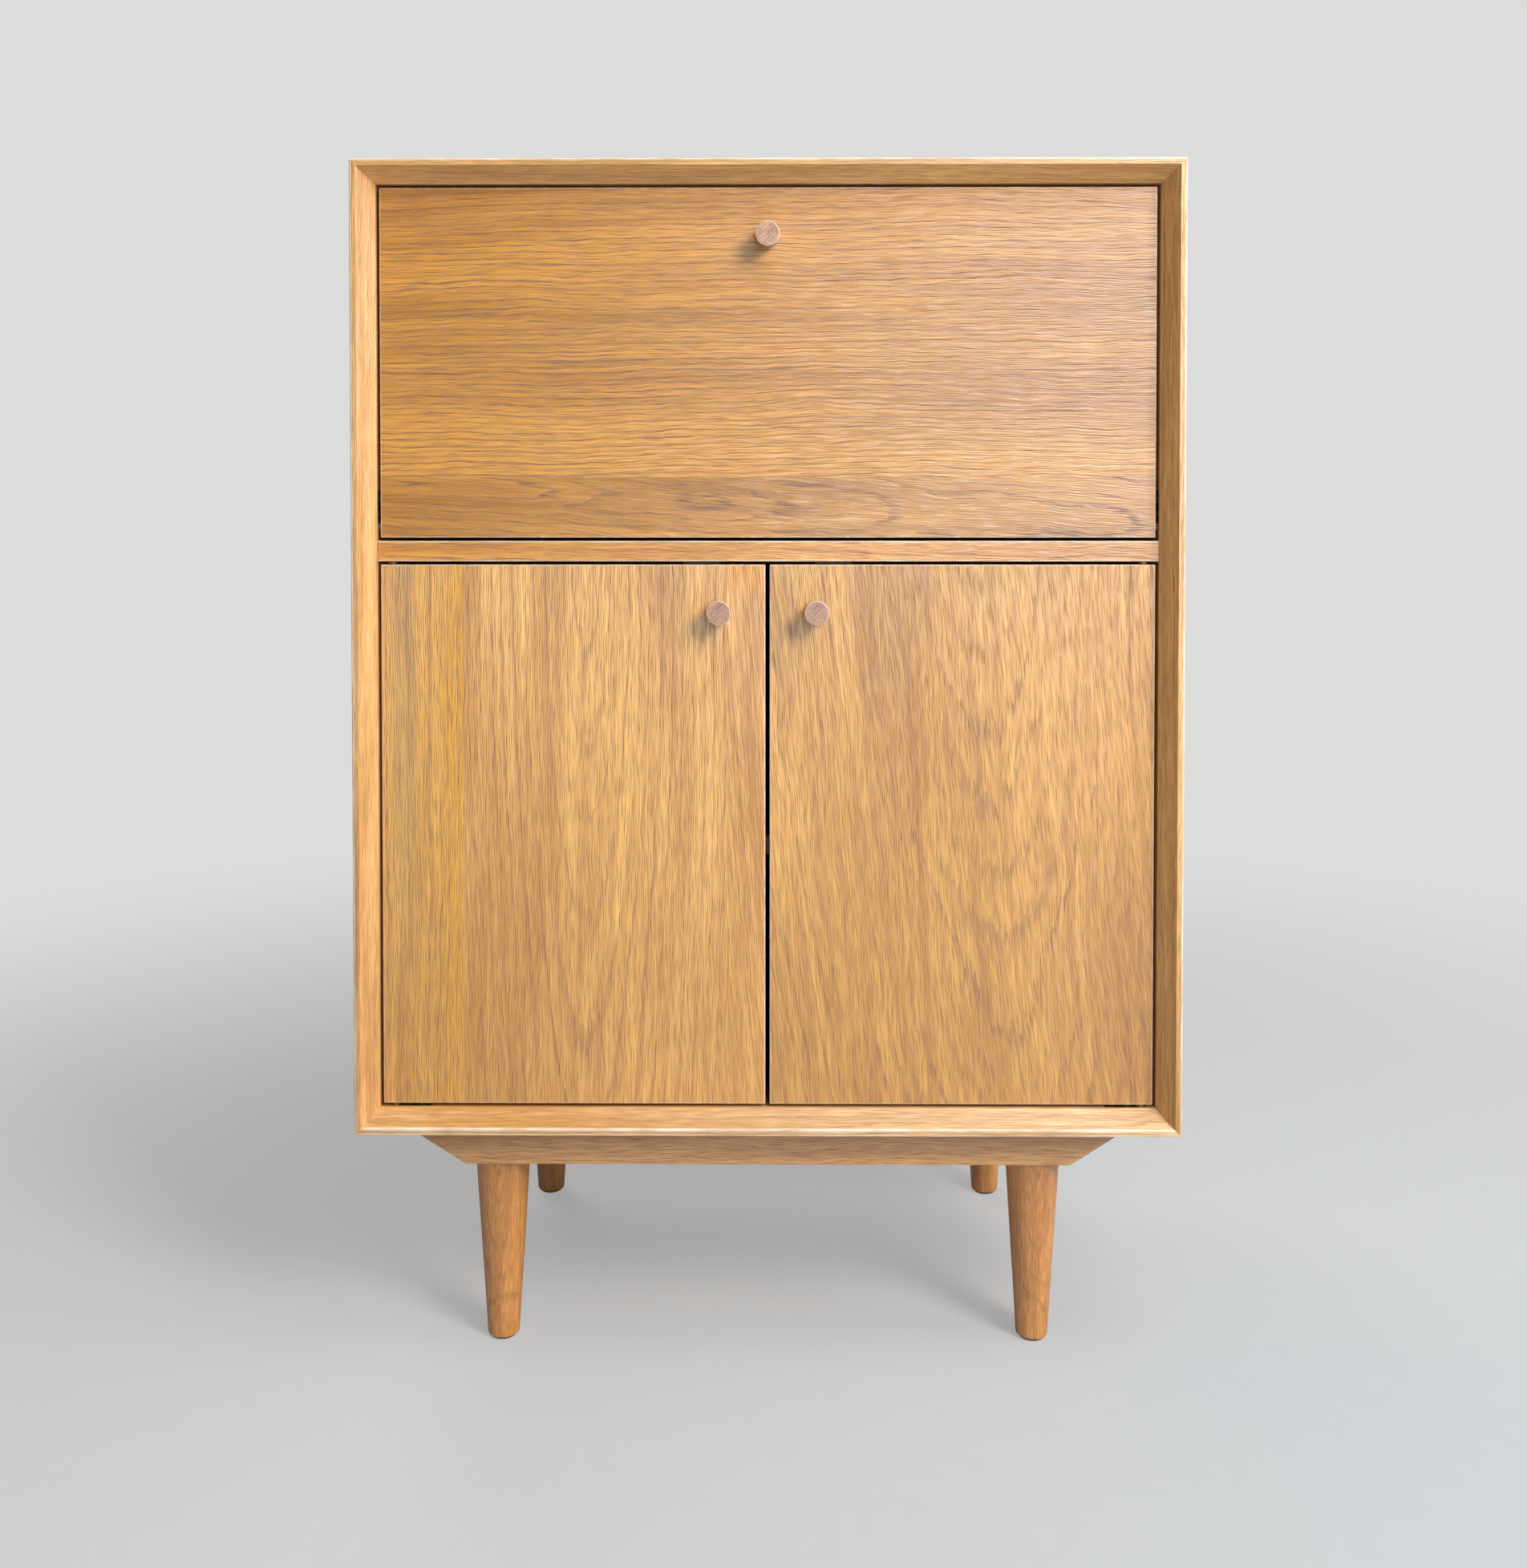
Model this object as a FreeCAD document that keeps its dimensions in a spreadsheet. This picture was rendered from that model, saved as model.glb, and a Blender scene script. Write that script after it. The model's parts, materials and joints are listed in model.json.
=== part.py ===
import FreeCAD, Part
import math
import os
import Sketcher
from types import SimpleNamespace

# Bar cabinet with a fold-out shelf, in millimetres.
# X runs to the right of someone who faces the front, Y to the back and Z up.
# The origin lies on the floor under the middle of the case.

SIZES = {
    # Case of four mitred panels, bevelled round the front opening
    "case_width": 762.0,
    "case_depth": 457.0,
    "case_height": 896.0,
    "panel_thickness": 19.0,
    "front_lip": 6.0,
    "bevel_depth": 20.0,
    "outer_arris": 1.2,
    "spline_thickness": 4.0,
    "spline_width": 16.0,
    "spline_front_setback": 45.0,
    "spline_rear_setback": 20.0,
    # Back panel in its rabbet
    "back_thickness": 6.0,
    "back_inset": 2.0,
    "back_rabbet": 8.0,
    "back_edge_clearance": 0.5,
    "back_screw_margin": 70.0,
    # Divider and its dowels
    "divider_arris": 0.6,
    "dowel_radius": 4.0,
    "dowel_in_side": 12.0,
    "dowel_in_divider": 18.0,
    "dowel_setback": 62.0,
    # Flap and doors, all set just behind the bevel
    "front_recess": 21.0,
    "front_thickness": 18.0,
    "front_arris": 0.8,
    "flap_height": 323.0,
    "side_gap": 3.0,
    "middle_gap": 4.0,
    "flap_top_gap": 3.0,
    "flap_bottom_gap": 3.0,
    "door_top_gap": 3.0,
    "door_bottom_gap": 3.0,
    # Turned knobs
    "knob_length": 20.0,
    "knob_face_radius": 11.5,
    "knob_base_radius": 10.0,
    "knob_arris": 1.0,
    "flap_knob_drop": 46.0,
    "door_knob_drop": 44.0,
    "door_knob_inset": 43.0,
    "knob_screw_radius": 2.0,
    "knob_screw_head_radius": 4.0,
    "knob_screw_head_height": 2.4,
    "knob_screw_bite": 12.0,
    # Pivot plates of the doors and the flap
    "pivot_inset": 10.0,
    "pivot_back": 7.0,
    "plate_length": 34.0,
    "plate_width": 10.0,
    "plate_thickness": 2.5,
    "pivot_pin_radius": 2.5,
    "pivot_pin_tail": 1.5,
    "pivot_boss_radius": 4.5,
    "pivot_end_play": 0.3,
    "running_clearance": 0.05,
    "pin_hole_clearance": 0.7,
    "plate_screw_margin": 8.0,
    "plate_screw_pitch": 14.0,
    # Small countersunk screws of the fittings
    "screw_radius": 1.4,
    "screw_head_radius": 2.8,
    "screw_head_height": 1.6,
    "screw_length": 14.0,
    # Sliding stays of the flap
    "stay_pin_back": 20.0,
    "stay_pin_up": 170.0,
    "stay_wall_gap": 17.0,
    "stay_guide_angle": 60.0,
    "stay_rod_radius": 3.0,
    "stay_slide_clearance": 0.3,
    "stay_eye_radius": 5.5,
    "stay_eye_width": 7.0,
    "stay_pin_radius": 2.5,
    "stay_pin_head_radius": 4.0,
    "stay_pin_head_height": 1.5,
    "stay_side_play": 0.4,
    "stay_stop_radius": 5.0,
    "stay_stop_length": 7.0,
    "stay_stop_play": 0.5,
    "guide_radius": 7.5,
    "guide_length": 14.0,
    "guide_stud_radius": 4.0,
    "guide_head_radius": 6.0,
    "guide_head_height": 1.5,
    "guide_head_clearance": 1.0,
    "wall_bracket_thickness": 3.0,
    "wall_bracket_width": 18.0,
    "wall_bracket_height": 46.0,
    "wall_bracket_screw_margin": 7.0,
    "flap_bracket_thickness": 2.5,
    "flap_bracket_width": 18.0,
    "flap_bracket_height": 46.0,
    "flap_bracket_screw_margin": 7.0,
    "ear_thickness": 3.0,
    "ear_height": 13.0,
    "ear_reach": 6.0,
    # Magnetic catches and their strikes
    "catch_width": 34.0,
    "catch_depth": 22.0,
    "catch_height": 17.0,
    "magnet_width": 24.0,
    "magnet_depth": 6.0,
    "magnet_height": 8.0,
    "magnet_drop": 10.5,
    "magnet_proud": 0.5,
    "strike_width": 26.0,
    "strike_height": 11.0,
    "strike_thickness": 1.2,
    "catch_gap": 0.3,
    "catch_screw_rear_margin": 7.0,
    "catch_screw_margin": 7.0,
    "catch_screw_bite": 10.0,
    "door_catch_offset": 62.0,
    "flap_catch_offset": 150.0,
    # Adjustable shelf on pins
    "shelf_thickness": 18.0,
    "shelf_side_gap": 2.0,
    "shelf_front_setback": 22.0,
    "shelf_back_gap": 2.0,
    "shelf_pin_radius": 2.5,
    "shelf_pin_in_side": 10.0,
    "shelf_pin_reach": 8.5,
    "shelf_pin_collar_radius": 4.5,
    "shelf_pin_collar": 1.5,
    "shelf_pin_setback": 55.0,
    "shelf_hole_start": 130.0,
    "shelf_hole_pitch": 32.0,
    # Base frame
    "base_height": 44.0,
    "base_setback": 41.0,
    "base_side_setback": 25.5,
    "base_end_slant": 69.5,
    "base_rail_thickness": 18.0,
    "base_end_thickness": 22.0,
    "base_arris": 1.0,
    "leg_block_length": 58.0,
    "leg_block_depth": 60.0,
    "base_screw_radius": 2.5,
    "base_screw_head_radius": 5.0,
    "base_screw_head_height": 3.0,
    "base_screw_bite": 12.0,
    "base_screw_inset": 16.0,
    # Legs
    "leg_height": 178.0,
    "leg_top_radius": 26.0,
    "leg_foot_radius": 15.0,
    "leg_foot_arris": 2.0,
    "leg_margin": 4.0,
    "bolt_radius": 4.0,
    "bolt_in_leg": 40.0,
    "bolt_in_base": 28.0,
    "insert_radius": 6.0,
    "insert_length": 24.0,
    "glide_thickness": 2.0,
    "glide_radius": 12.0,
    "glide_nail_radius": 1.2,
    "glide_nail_length": 12.0,
    # One overrun for all cuts
    "overrun": 3.0,
}

SHELF_HOLE_ROWS = 8
SHELF_ROW_USED = 3
SIDES = (("left", -1), ("right", 1))
ENDS = (("front", -1), ("back", 1))
UP = FreeCAD.Vector(0, 0, 1)
DOWN = FreeCAD.Vector(0, 0, -1)
FORWARD = FreeCAD.Vector(0, -1, 0)
OUTWARD = {-1: FreeCAD.Vector(-1, 0, 0), 1: FreeCAD.Vector(1, 0, 0)}

doc = FreeCAD.newDocument("bar_cabinet")


def build_sheet():
    """Writes the driving sizes to the document's sheet."""
    sheet = doc.addObject("Spreadsheet::Sheet", "sizes")
    for row, (alias, number) in enumerate(SIZES.items(), start=1):
        sheet.set(f"A{row}", alias)
        sheet.set(f"B{row}", str(number))
        sheet.setAlias(f"B{row}", alias)
    doc.recompute()
    return sheet


class Size:
    """A size that knows its number and the formula that gives it from the sheet."""

    def __init__(self, formula, number):
        self.formula = formula
        self.number = float(number)

    def joined(self, sign, other, number):
        return Size(f"({self.formula} {sign} {other.formula})", number)

    def __add__(self, other):
        other = as_size(other)
        return self.joined("+", other, self.number + other.number)

    def __radd__(self, other):
        return as_size(other) + self

    def __sub__(self, other):
        other = as_size(other)
        return self.joined("-", other, self.number - other.number)

    def __rsub__(self, other):
        return as_size(other) - self

    def __mul__(self, other):
        other = as_size(other)
        return self.joined("*", other, self.number * other.number)

    def __rmul__(self, other):
        return as_size(other) * self

    def __truediv__(self, other):
        other = as_size(other)
        return self.joined("/", other, self.number / other.number)

    def __neg__(self):
        return Size(f"(0 - {self.formula})", -self.number)


def as_size(value):
    """Gives a plain number the form of a size."""
    return value if isinstance(value, Size) else Size(str(value), value)


def root_of_squares(first, second):
    """The long side of a right triangle with these two sides."""
    formula = f"sqrt(({first.formula})^2 + ({second.formula})^2)"
    return Size(formula, math.hypot(first.number, second.number))


def cosine(angle):
    return Size(f"cos({angle.formula})", math.cos(math.radians(angle.number)))


def sine(angle):
    return Size(f"sin({angle.formula})", math.sin(math.radians(angle.number)))


def slope(rise, run):
    """The angle of a line with this rise and run."""
    return Size(f"atan2({rise.formula}; {run.formula})", math.degrees(math.atan2(rise.number, run.number)))


sheet = build_sheet()
dim = SimpleNamespace(**{alias: Size(f"sizes.{alias}", sheet.get(alias)) for alias in SIZES})
ZERO = as_size(0)

# Planes and levels that the pieces share
half_width = dim.case_width / 2
front = -dim.case_depth / 2
rear = dim.case_depth / 2
inner_half = half_width - dim.panel_thickness
base_under = dim.leg_height
case_under = dim.leg_height + dim.base_height
case_top = case_under + dim.case_height
floor_level = case_under + dim.panel_thickness
ceiling_level = case_top - dim.panel_thickness
face = front + dim.front_recess
inside = face + dim.front_thickness
back_front = rear - dim.back_inset - dim.back_thickness
flap_top = ceiling_level - dim.flap_top_gap
flap_bottom = flap_top - dim.flap_height
divider_top = flap_bottom - dim.flap_bottom_gap
divider_under = divider_top - dim.panel_thickness
door_top = divider_under - dim.door_top_gap
door_bottom = floor_level + dim.door_bottom_gap
front_half = inner_half - dim.side_gap

# Pivot axes of the fronts, stay pins and stay guides
pivot_y = face + dim.pivot_back
door_pivot_x = front_half - dim.pivot_inset
flap_pivot_z = flap_bottom + dim.pivot_inset
stay_x = inner_half - dim.stay_wall_gap
stay_pin_y = pivot_y + dim.stay_pin_back
stay_pin_z = flap_pivot_z + dim.stay_pin_up
stay_swing = root_of_squares(dim.stay_pin_back, dim.stay_pin_up)
guide_y = pivot_y + stay_swing * cosine(dim.stay_guide_angle)
guide_z = flap_pivot_z + stay_swing * sine(dim.stay_guide_angle)
open_pin_y = pivot_y - dim.stay_pin_up
open_pin_z = flap_pivot_z + dim.stay_pin_back
open_chord = root_of_squares(guide_y - open_pin_y, guide_z - open_pin_z)
stay_slope = slope(guide_z - stay_pin_z, guide_y - stay_pin_y)

# Places of the legs and of the adjustable shelf
base_top_half = half_width - dim.base_side_setback
base_foot_half = base_top_half - dim.base_end_slant
leg_x = base_foot_half - dim.leg_margin - dim.leg_top_radius
leg_y = rear - dim.base_setback - dim.leg_margin - dim.leg_top_radius
rail_inner_y = rear - dim.base_setback - dim.base_rail_thickness
shelf_pin_level = floor_level + dim.shelf_hole_start + SHELF_ROW_USED * dim.shelf_hole_pitch
shelf_under = shelf_pin_level + dim.shelf_pin_radius
shelf_pin_rows = (inside + dim.shelf_pin_setback, back_front - dim.shelf_pin_setback)

nodes = {}


def bind(target, place, size):
    """Ties one property of an object to its formula on the sheet."""
    target.setExpression(place, as_size(size).formula)


def put(target, x, y, z):
    """Ties an object's place to three sizes."""
    for axis, size in zip("xyz", (x, y, z)):
        bind(target, f"Placement.Base.{axis}", size)


def turn(target, rotation):
    """Turns an object about its own origin."""
    target.Placement = FreeCAD.Placement(FreeCAD.Vector(), rotation)


def tilt(target, angle):
    """Ties an object's turn about the X axis to an angle."""
    turn(target, FreeCAD.Rotation(FreeCAD.Vector(1, 0, 0), 90))
    bind(target, "Placement.Rotation.Angle", angle)


def plane_of(body, role):
    """One of the body's own origin planes."""
    return next(plane for plane in body.Origin.OriginFeatures if plane.Role == role)


def outline(body, name, role, corners):
    """A closed sketch of straight edges, each corner held by two sizes from the body's origin."""
    sketch = body.newObject("Sketcher::SketchObject", name)
    sketch.AttachmentSupport = [(plane_of(body, role), "")]
    sketch.MapMode = "FlatFace"
    add_loop(sketch, corners)
    return sketch


def add_loop(sketch, corners):
    """Adds one closed loop of straight edges to a sketch."""
    first = sketch.GeometryCount
    count = len(corners)
    points = [FreeCAD.Vector(x.number, y.number, 0) for x, y in corners]
    for index in range(count):
        sketch.addGeometry(Part.LineSegment(points[index], points[(index + 1) % count]), False)
    for index in range(count):
        following = first + (index + 1) % count
        sketch.addConstraint(Sketcher.Constraint("Coincident", first + index, 2, following, 1))
    for index, (x, y) in enumerate(corners):
        hold(sketch, "DistanceX", first + index, x, -2)
        hold(sketch, "DistanceY", first + index, y, -1)


def hold(sketch, kind, edge, size, axis):
    """Holds the start of an edge at a size from the sketch's origin, or on its axis."""
    if size is ZERO:
        sketch.addConstraint(Sketcher.Constraint("PointOnObject", edge, 1, axis))
        return
    place = sketch.addConstraint(Sketcher.Constraint(kind, -1, 1, edge, 1, size.number))
    bind(sketch, f"Constraints[{place}]", size)


def pad(body, name, sketch, length, side="Symmetric", reverse=False):
    """Thickens a sketch into a board."""
    feature = body.newObject("PartDesign::Pad", name)
    feature.Profile = sketch
    feature.SideType = side
    feature.Reversed = reverse
    bind(feature, "Length", length)
    return feature


def pocket_through(body, name, sketch):
    """Cuts a sketch right through the body, both ways from its plane."""
    feature = body.newObject("PartDesign::Pocket", name)
    feature.Profile = sketch
    feature.SideType = "Symmetric"
    feature.Type = "ThroughAll"
    return feature


def edges_where(shape, test):
    """Names of the edges of which both ends pass the test."""
    return [
        f"Edge{index}"
        for index, edge in enumerate(shape.Edges, start=1)
        if all(test(vertex.Point) for vertex in edge.Vertexes)
    ]


def near(value, size):
    return abs(value - as_size(size).number) < Part.Precision.approximation()


def soften(body, name, radius, test=None):
    """Rounds the edges that pass the test, or all edges of the body."""
    doc.recompute()
    base = body.Tip
    feature = body.newObject("PartDesign::Fillet", name)
    feature.Base = (base, edges_where(base.Shape, test or (lambda point: True)))
    bind(feature, "Radius", radius)
    return feature


def new_body(name):
    """Starts the body of a wooden piece and lists it as a node."""
    body = doc.addObject("PartDesign::Body", name)
    nodes[name] = body
    return body


def board(name, x, y, z):
    """A plain board between two corners."""
    body = new_body(name)
    block = body.newObject("PartDesign::AdditiveBox", f"{name}_board")
    for side, (low, high) in zip(("Length", "Width", "Height"), (x, y, z)):
        bind(block, side, high - low)
    put(body, x[0], y[0], z[0])
    return body


def turned(name, profile):
    """A turned piece about its own Z axis."""
    body = new_body(name)
    sketch = outline(body, f"{name}_profile", "XZ_Plane", profile)
    feature = body.newObject("PartDesign::Revolution", f"{name}_turning")
    feature.Profile = sketch
    feature.ReferenceAxis = (sketch, ["V_Axis"])
    feature.Angle = 360
    return body


def box(name, x, y, z):
    """A box between two corners."""
    block = doc.addObject("Part::Box", name)
    for side, (low, high) in zip(("Length", "Width", "Height"), (x, y, z)):
        bind(block, side, high - low)
    put(block, x[0], y[0], z[0])
    return block


AXIS_TURNS = {
    "X": FreeCAD.Rotation(FreeCAD.Vector(0, 1, 0), 90),
    "Y": FreeCAD.Rotation(FreeCAD.Vector(1, 0, 0), -90),
    "Z": FreeCAD.Rotation(),
}


def round_bar(name, axis, start, length, radius):
    """A round bar along an axis from its start point."""
    bar = doc.addObject("Part::Cylinder", name)
    bind(bar, "Radius", radius)
    bind(bar, "Height", length)
    turn(bar, AXIS_TURNS[axis])
    put(bar, *start)
    return bar


def round_bar_x(name, sign, x_low, x_high, y, z, radius):
    """A round bar along X between two distances from the middle, on the side that sign gives."""
    start = x_low if sign > 0 else -x_high
    return round_bar(name, "X", (start, y, z), x_high - x_low, radius)


def side_span(sign, low, high):
    """The X span between two distances from the middle, on the side that sign gives."""
    return (low, high) if sign > 0 else (-high, -low)


def fuse(name, *pieces):
    joined = doc.addObject("Part::MultiFuse", name)
    joined.Shapes = list(pieces)
    joined.Refine = True
    return joined


def cut(name, base, tool):
    piece = doc.addObject("Part::Cut", name)
    piece.Base = base
    piece.Tool = tool
    return piece


def group(name, pieces):
    """One object of several separate solids."""
    gathered = doc.addObject("Part::Compound", name)
    gathered.Links = list(pieces)
    return gathered


def screws(name, places, radius, head_radius, head_height, length):
    """A group of equal countersunk screws: each place is a head's middle and the way the screw points."""
    pieces = []
    for place, way in places:
        shank = round_bar("screw_shank", "Z", (ZERO, ZERO, ZERO), length, radius)
        head = doc.addObject("Part::Cone", "screw_head")
        bind(head, "Radius1", head_radius)
        bind(head, "Radius2", radius)
        bind(head, "Height", head_height)
        screw = fuse("screw", shank, head)
        turn(screw, FreeCAD.Rotation(UP, way))
        put(screw, *place)
        pieces.append(screw)
    nodes[name] = group(name, pieces)


def small_screws(name, places):
    screws(name, places, dim.screw_radius, dim.screw_head_radius, dim.screw_head_height, dim.screw_length)


def shifted(place, way, distance):
    """A place moved by a distance along a way."""
    return tuple(start + step * distance if step else start for start, step in zip(place, way))


def case_profile(outer, inner, inward):
    """Section of a case panel: lip and bevel in front, rabbet behind. Pairs are (depth, across)."""
    lip_end = outer + inward * dim.front_lip
    shoulder = inner - inward * dim.back_rabbet
    return (
        (front, outer),
        (rear, outer),
        (rear, shoulder),
        (back_front, shoulder),
        (back_front, inner),
        (front + dim.bevel_depth, inner),
        (front, lip_end),
    )


def level_panel(name, outer, inner, inward):
    """Top or bottom panel of the case, mitred at both ends."""
    body = new_body(name)
    profile = outline(body, f"{name}_profile", "YZ_Plane", case_profile(outer, inner, inward))
    pad(body, f"{name}_board", profile, dim.case_width)
    past = inward * dim.overrun
    sketch = None
    for sign in (-1, 1):
        loop = (
            (sign * (half_width + dim.overrun), outer - past),
            (sign * (half_width + dim.overrun), inner + past),
            (sign * (inner_half - dim.overrun), inner + past),
        )
        if sketch is None:
            sketch = outline(body, f"{name}_mitres", "XZ_Plane", loop)
        else:
            add_loop(sketch, loop)
    pocket_through(body, f"{name}_mitre_cut", sketch)
    soften(body, f"{name}_arris", dim.outer_arris,
           lambda point: near(point.y, front) and near(point.z, outer))
    return body


def side_panel(name, sign):
    """Left or right panel of the case, mitred at both ends."""
    body = new_body(name)
    section = case_profile(sign * half_width, sign * inner_half, -sign)
    corners = tuple((across, depth) for depth, across in section)
    profile = outline(body, f"{name}_profile", "XY_Plane", corners)
    bind(profile, "AttachmentOffset.Base.z", case_under)
    pad(body, f"{name}_board", profile, dim.case_height, "One side")
    sketch = None
    for outer, inner, outward in ((case_top, ceiling_level, 1), (case_under, floor_level, -1)):
        past = outward * dim.overrun
        loop = (
            (sign * (half_width + dim.overrun), outer + past),
            (sign * (inner_half - dim.overrun), outer + past),
            (sign * (inner_half - dim.overrun), inner - past),
        )
        if sketch is None:
            sketch = outline(body, f"{name}_mitres", "XZ_Plane", loop)
        else:
            add_loop(sketch, loop)
    pocket_through(body, f"{name}_mitre_cut", sketch)
    outer_face = sign * half_width
    soften(body, f"{name}_arris", dim.outer_arris,
           lambda point: near(point.y, front) and near(point.x, outer_face))
    return body


def build_case():
    """The four mitred panels, with the splines that are let into their mitres."""
    level_panel("top_panel", case_top, ceiling_level, -1)
    level_panel("bottom_panel", case_under, floor_level, 1)
    for hand, sign in SIDES:
        side_panel(f"{hand}_side_panel", sign)
    splines = []
    half_panel = dim.panel_thickness / 2
    middle = half_width - half_panel
    length = back_front - dim.spline_rear_setback - front - dim.spline_front_setback
    for hand, sign in SIDES:
        for level, upright in ((case_top - half_panel, 1), (case_under + half_panel, -1)):
            strip = doc.addObject("Part::Box", f"{hand}_spline")
            bind(strip, "Length", dim.spline_width)
            bind(strip, "Width", length)
            bind(strip, "Height", dim.spline_thickness)
            mitre = as_size(sign * upright * 45)
            turn(strip, FreeCAD.Rotation(FreeCAD.Vector(0, 1, 0), -mitre.number))
            # The strip's section is centred on the middle of the mitre after its turn of half a right angle
            run = dim.spline_width / 2 * cosine(mitre) - dim.spline_thickness / 2 * sine(mitre)
            rise = dim.spline_width / 2 * sine(mitre) + dim.spline_thickness / 2 * cosine(mitre)
            put(strip, sign * middle - run, front + dim.spline_front_setback, level - rise)
            splines.append(strip)
    nodes["corner_splines"] = group("corner_splines", splines)


def build_divider():
    """The fixed shelf between the two compartments, on dowels."""
    span = (-inner_half, inner_half)
    body = board("divider_shelf", span, (front + dim.bevel_depth, back_front), (divider_under, divider_top))
    soften(body, "divider_arrises", dim.divider_arris, lambda point: near(point.y, 0))
    middle = (divider_under + divider_top) / 2
    low = inner_half - dim.dowel_in_divider
    high = inner_half + dim.dowel_in_side
    dowels = []
    for hand, sign in SIDES:
        for y in (front + dim.dowel_setback, ZERO, back_front - dim.dowel_setback):
            dowels.append(round_bar_x(f"{hand}_dowel", sign, low, high, y, middle, dim.dowel_radius))
    nodes["divider_dowels"] = group("divider_dowels", dowels)


def build_back():
    """The back panel in its rabbet, with screws round its edge and into the divider."""
    reach = dim.back_rabbet - dim.back_edge_clearance
    half = inner_half + reach
    board("back_panel", (-half, half), (back_front, back_front + dim.back_thickness),
          (floor_level - reach, ceiling_level + reach))
    y = back_front + dim.back_thickness
    column_x = inner_half + dim.back_rabbet / 2
    row_low = floor_level - dim.back_rabbet / 2
    row_high = ceiling_level + dim.back_rabbet / 2
    low = floor_level + dim.back_screw_margin
    high = ceiling_level - dim.back_screw_margin
    column_levels = [low + (high - low) * step / 4 for step in range(5)]
    row_half = inner_half - dim.back_screw_margin
    places = []
    for sign in (-1, 1):
        places += [((sign * column_x, y, level), FORWARD) for level in column_levels]
    for level in (row_low, (divider_under + divider_top) / 2, row_high):
        places += [((row_half * step, y, level), FORWARD) for step in (-1, 0, 1)]
    small_screws("back_panel_screws", places)


def build_shelf():
    """The adjustable shelf on four pins, and the rows of holes that the pins go in."""
    half = inner_half - dim.shelf_side_gap
    depth = (inside + dim.shelf_front_setback, back_front - dim.shelf_back_gap)
    body = board("adjustable_shelf", (-half, half), depth, (shelf_under, shelf_under + dim.shelf_thickness))
    soften(body, "adjustable_shelf_arrises", dim.divider_arris)
    pins = []
    for _, sign in SIDES:
        for y in shelf_pin_rows:
            shank = round_bar_x("shelf_pin_shank", sign, inner_half - dim.shelf_pin_reach,
                                inner_half + dim.shelf_pin_in_side, y, shelf_pin_level,
                                dim.shelf_pin_radius)
            collar = round_bar_x("shelf_pin_collar_ring", sign, inner_half - dim.shelf_pin_collar,
                                 inner_half, y, shelf_pin_level, dim.shelf_pin_collar_radius)
            pins.append(fuse("shelf_pin", shank, collar))
    nodes["shelf_pins"] = group("shelf_pins", pins)
    holes = {}
    for hand, sign in SIDES:
        bars = []
        for y in shelf_pin_rows:
            for row in range(SHELF_HOLE_ROWS):
                level = floor_level + dim.shelf_hole_start + row * dim.shelf_hole_pitch
                bars.append(round_bar_x("shelf_hole", sign, inner_half - dim.overrun,
                                        inner_half + dim.shelf_pin_in_side, y, level, dim.shelf_pin_radius))
        holes[hand] = group(f"{hand}_shelf_holes", bars)
    return holes


def build_base():
    """The base frame: two long rails with slanted ends, two slanted end boards and four leg blocks."""
    low = base_foot_half
    high = base_top_half
    rail_outline = ((-low, base_under), (low, base_under), (high, case_under), (-high, case_under))
    for end, sign in ENDS:
        body = new_body(f"base_{end}_rail")
        sketch = outline(body, f"base_{end}_outline", "XZ_Plane", rail_outline)
        near_face = sign * rail_inner_y
        bind(sketch, "AttachmentOffset.Base.z", -near_face)
        pad(body, f"base_{end}_board", sketch, dim.base_rail_thickness, "One side", sign > 0)
        outer_face = sign * (rail_inner_y + dim.base_rail_thickness)
        soften(body, f"base_{end}_arris", dim.base_arris,
               lambda point: near(point.y, outer_face) and not near(point.z, case_under))
    for hand, sign in SIDES:
        body = new_body(f"base_{hand}_end")
        corners = (
            (sign * low, base_under),
            (sign * high, case_under),
            (sign * (high - dim.base_end_thickness), case_under),
            (sign * (low - dim.base_end_thickness), base_under),
        )
        sketch = outline(body, f"base_{hand}_outline", "XZ_Plane", corners)
        pad(body, f"base_{hand}_board", sketch, rail_inner_y * 2)
    blocks = []
    inner_x = low - dim.base_end_thickness - dim.leg_block_length
    for hand, sign in SIDES:
        for end, way in ENDS:
            body = doc.addObject("PartDesign::Body", f"{end}_{hand}_leg_block")
            corners = (
                (sign * inner_x, base_under),
                (sign * (low - dim.base_end_thickness), base_under),
                (sign * (high - dim.base_end_thickness), case_under),
                (sign * inner_x, case_under),
            )
            sketch = outline(body, f"{end}_{hand}_block_outline", "XZ_Plane", corners)
            bind(sketch, "AttachmentOffset.Base.z", -way * rail_inner_y)
            pad(body, f"{end}_{hand}_block", sketch, dim.leg_block_depth, "One side", way < 0)
            blocks.append(body)
    nodes["base_leg_blocks"] = group("base_leg_blocks", blocks)
    screw_x = inner_x + dim.base_screw_inset
    screw_y = rail_inner_y - dim.leg_block_depth + dim.base_screw_inset
    places = [((sign * screw_x, way * screw_y, base_under), UP) for _, sign in SIDES for _, way in ENDS]
    screws("base_fixing_screws", places, dim.base_screw_radius, dim.base_screw_head_radius,
           dim.base_screw_head_height, dim.base_height + dim.base_screw_bite)


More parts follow.
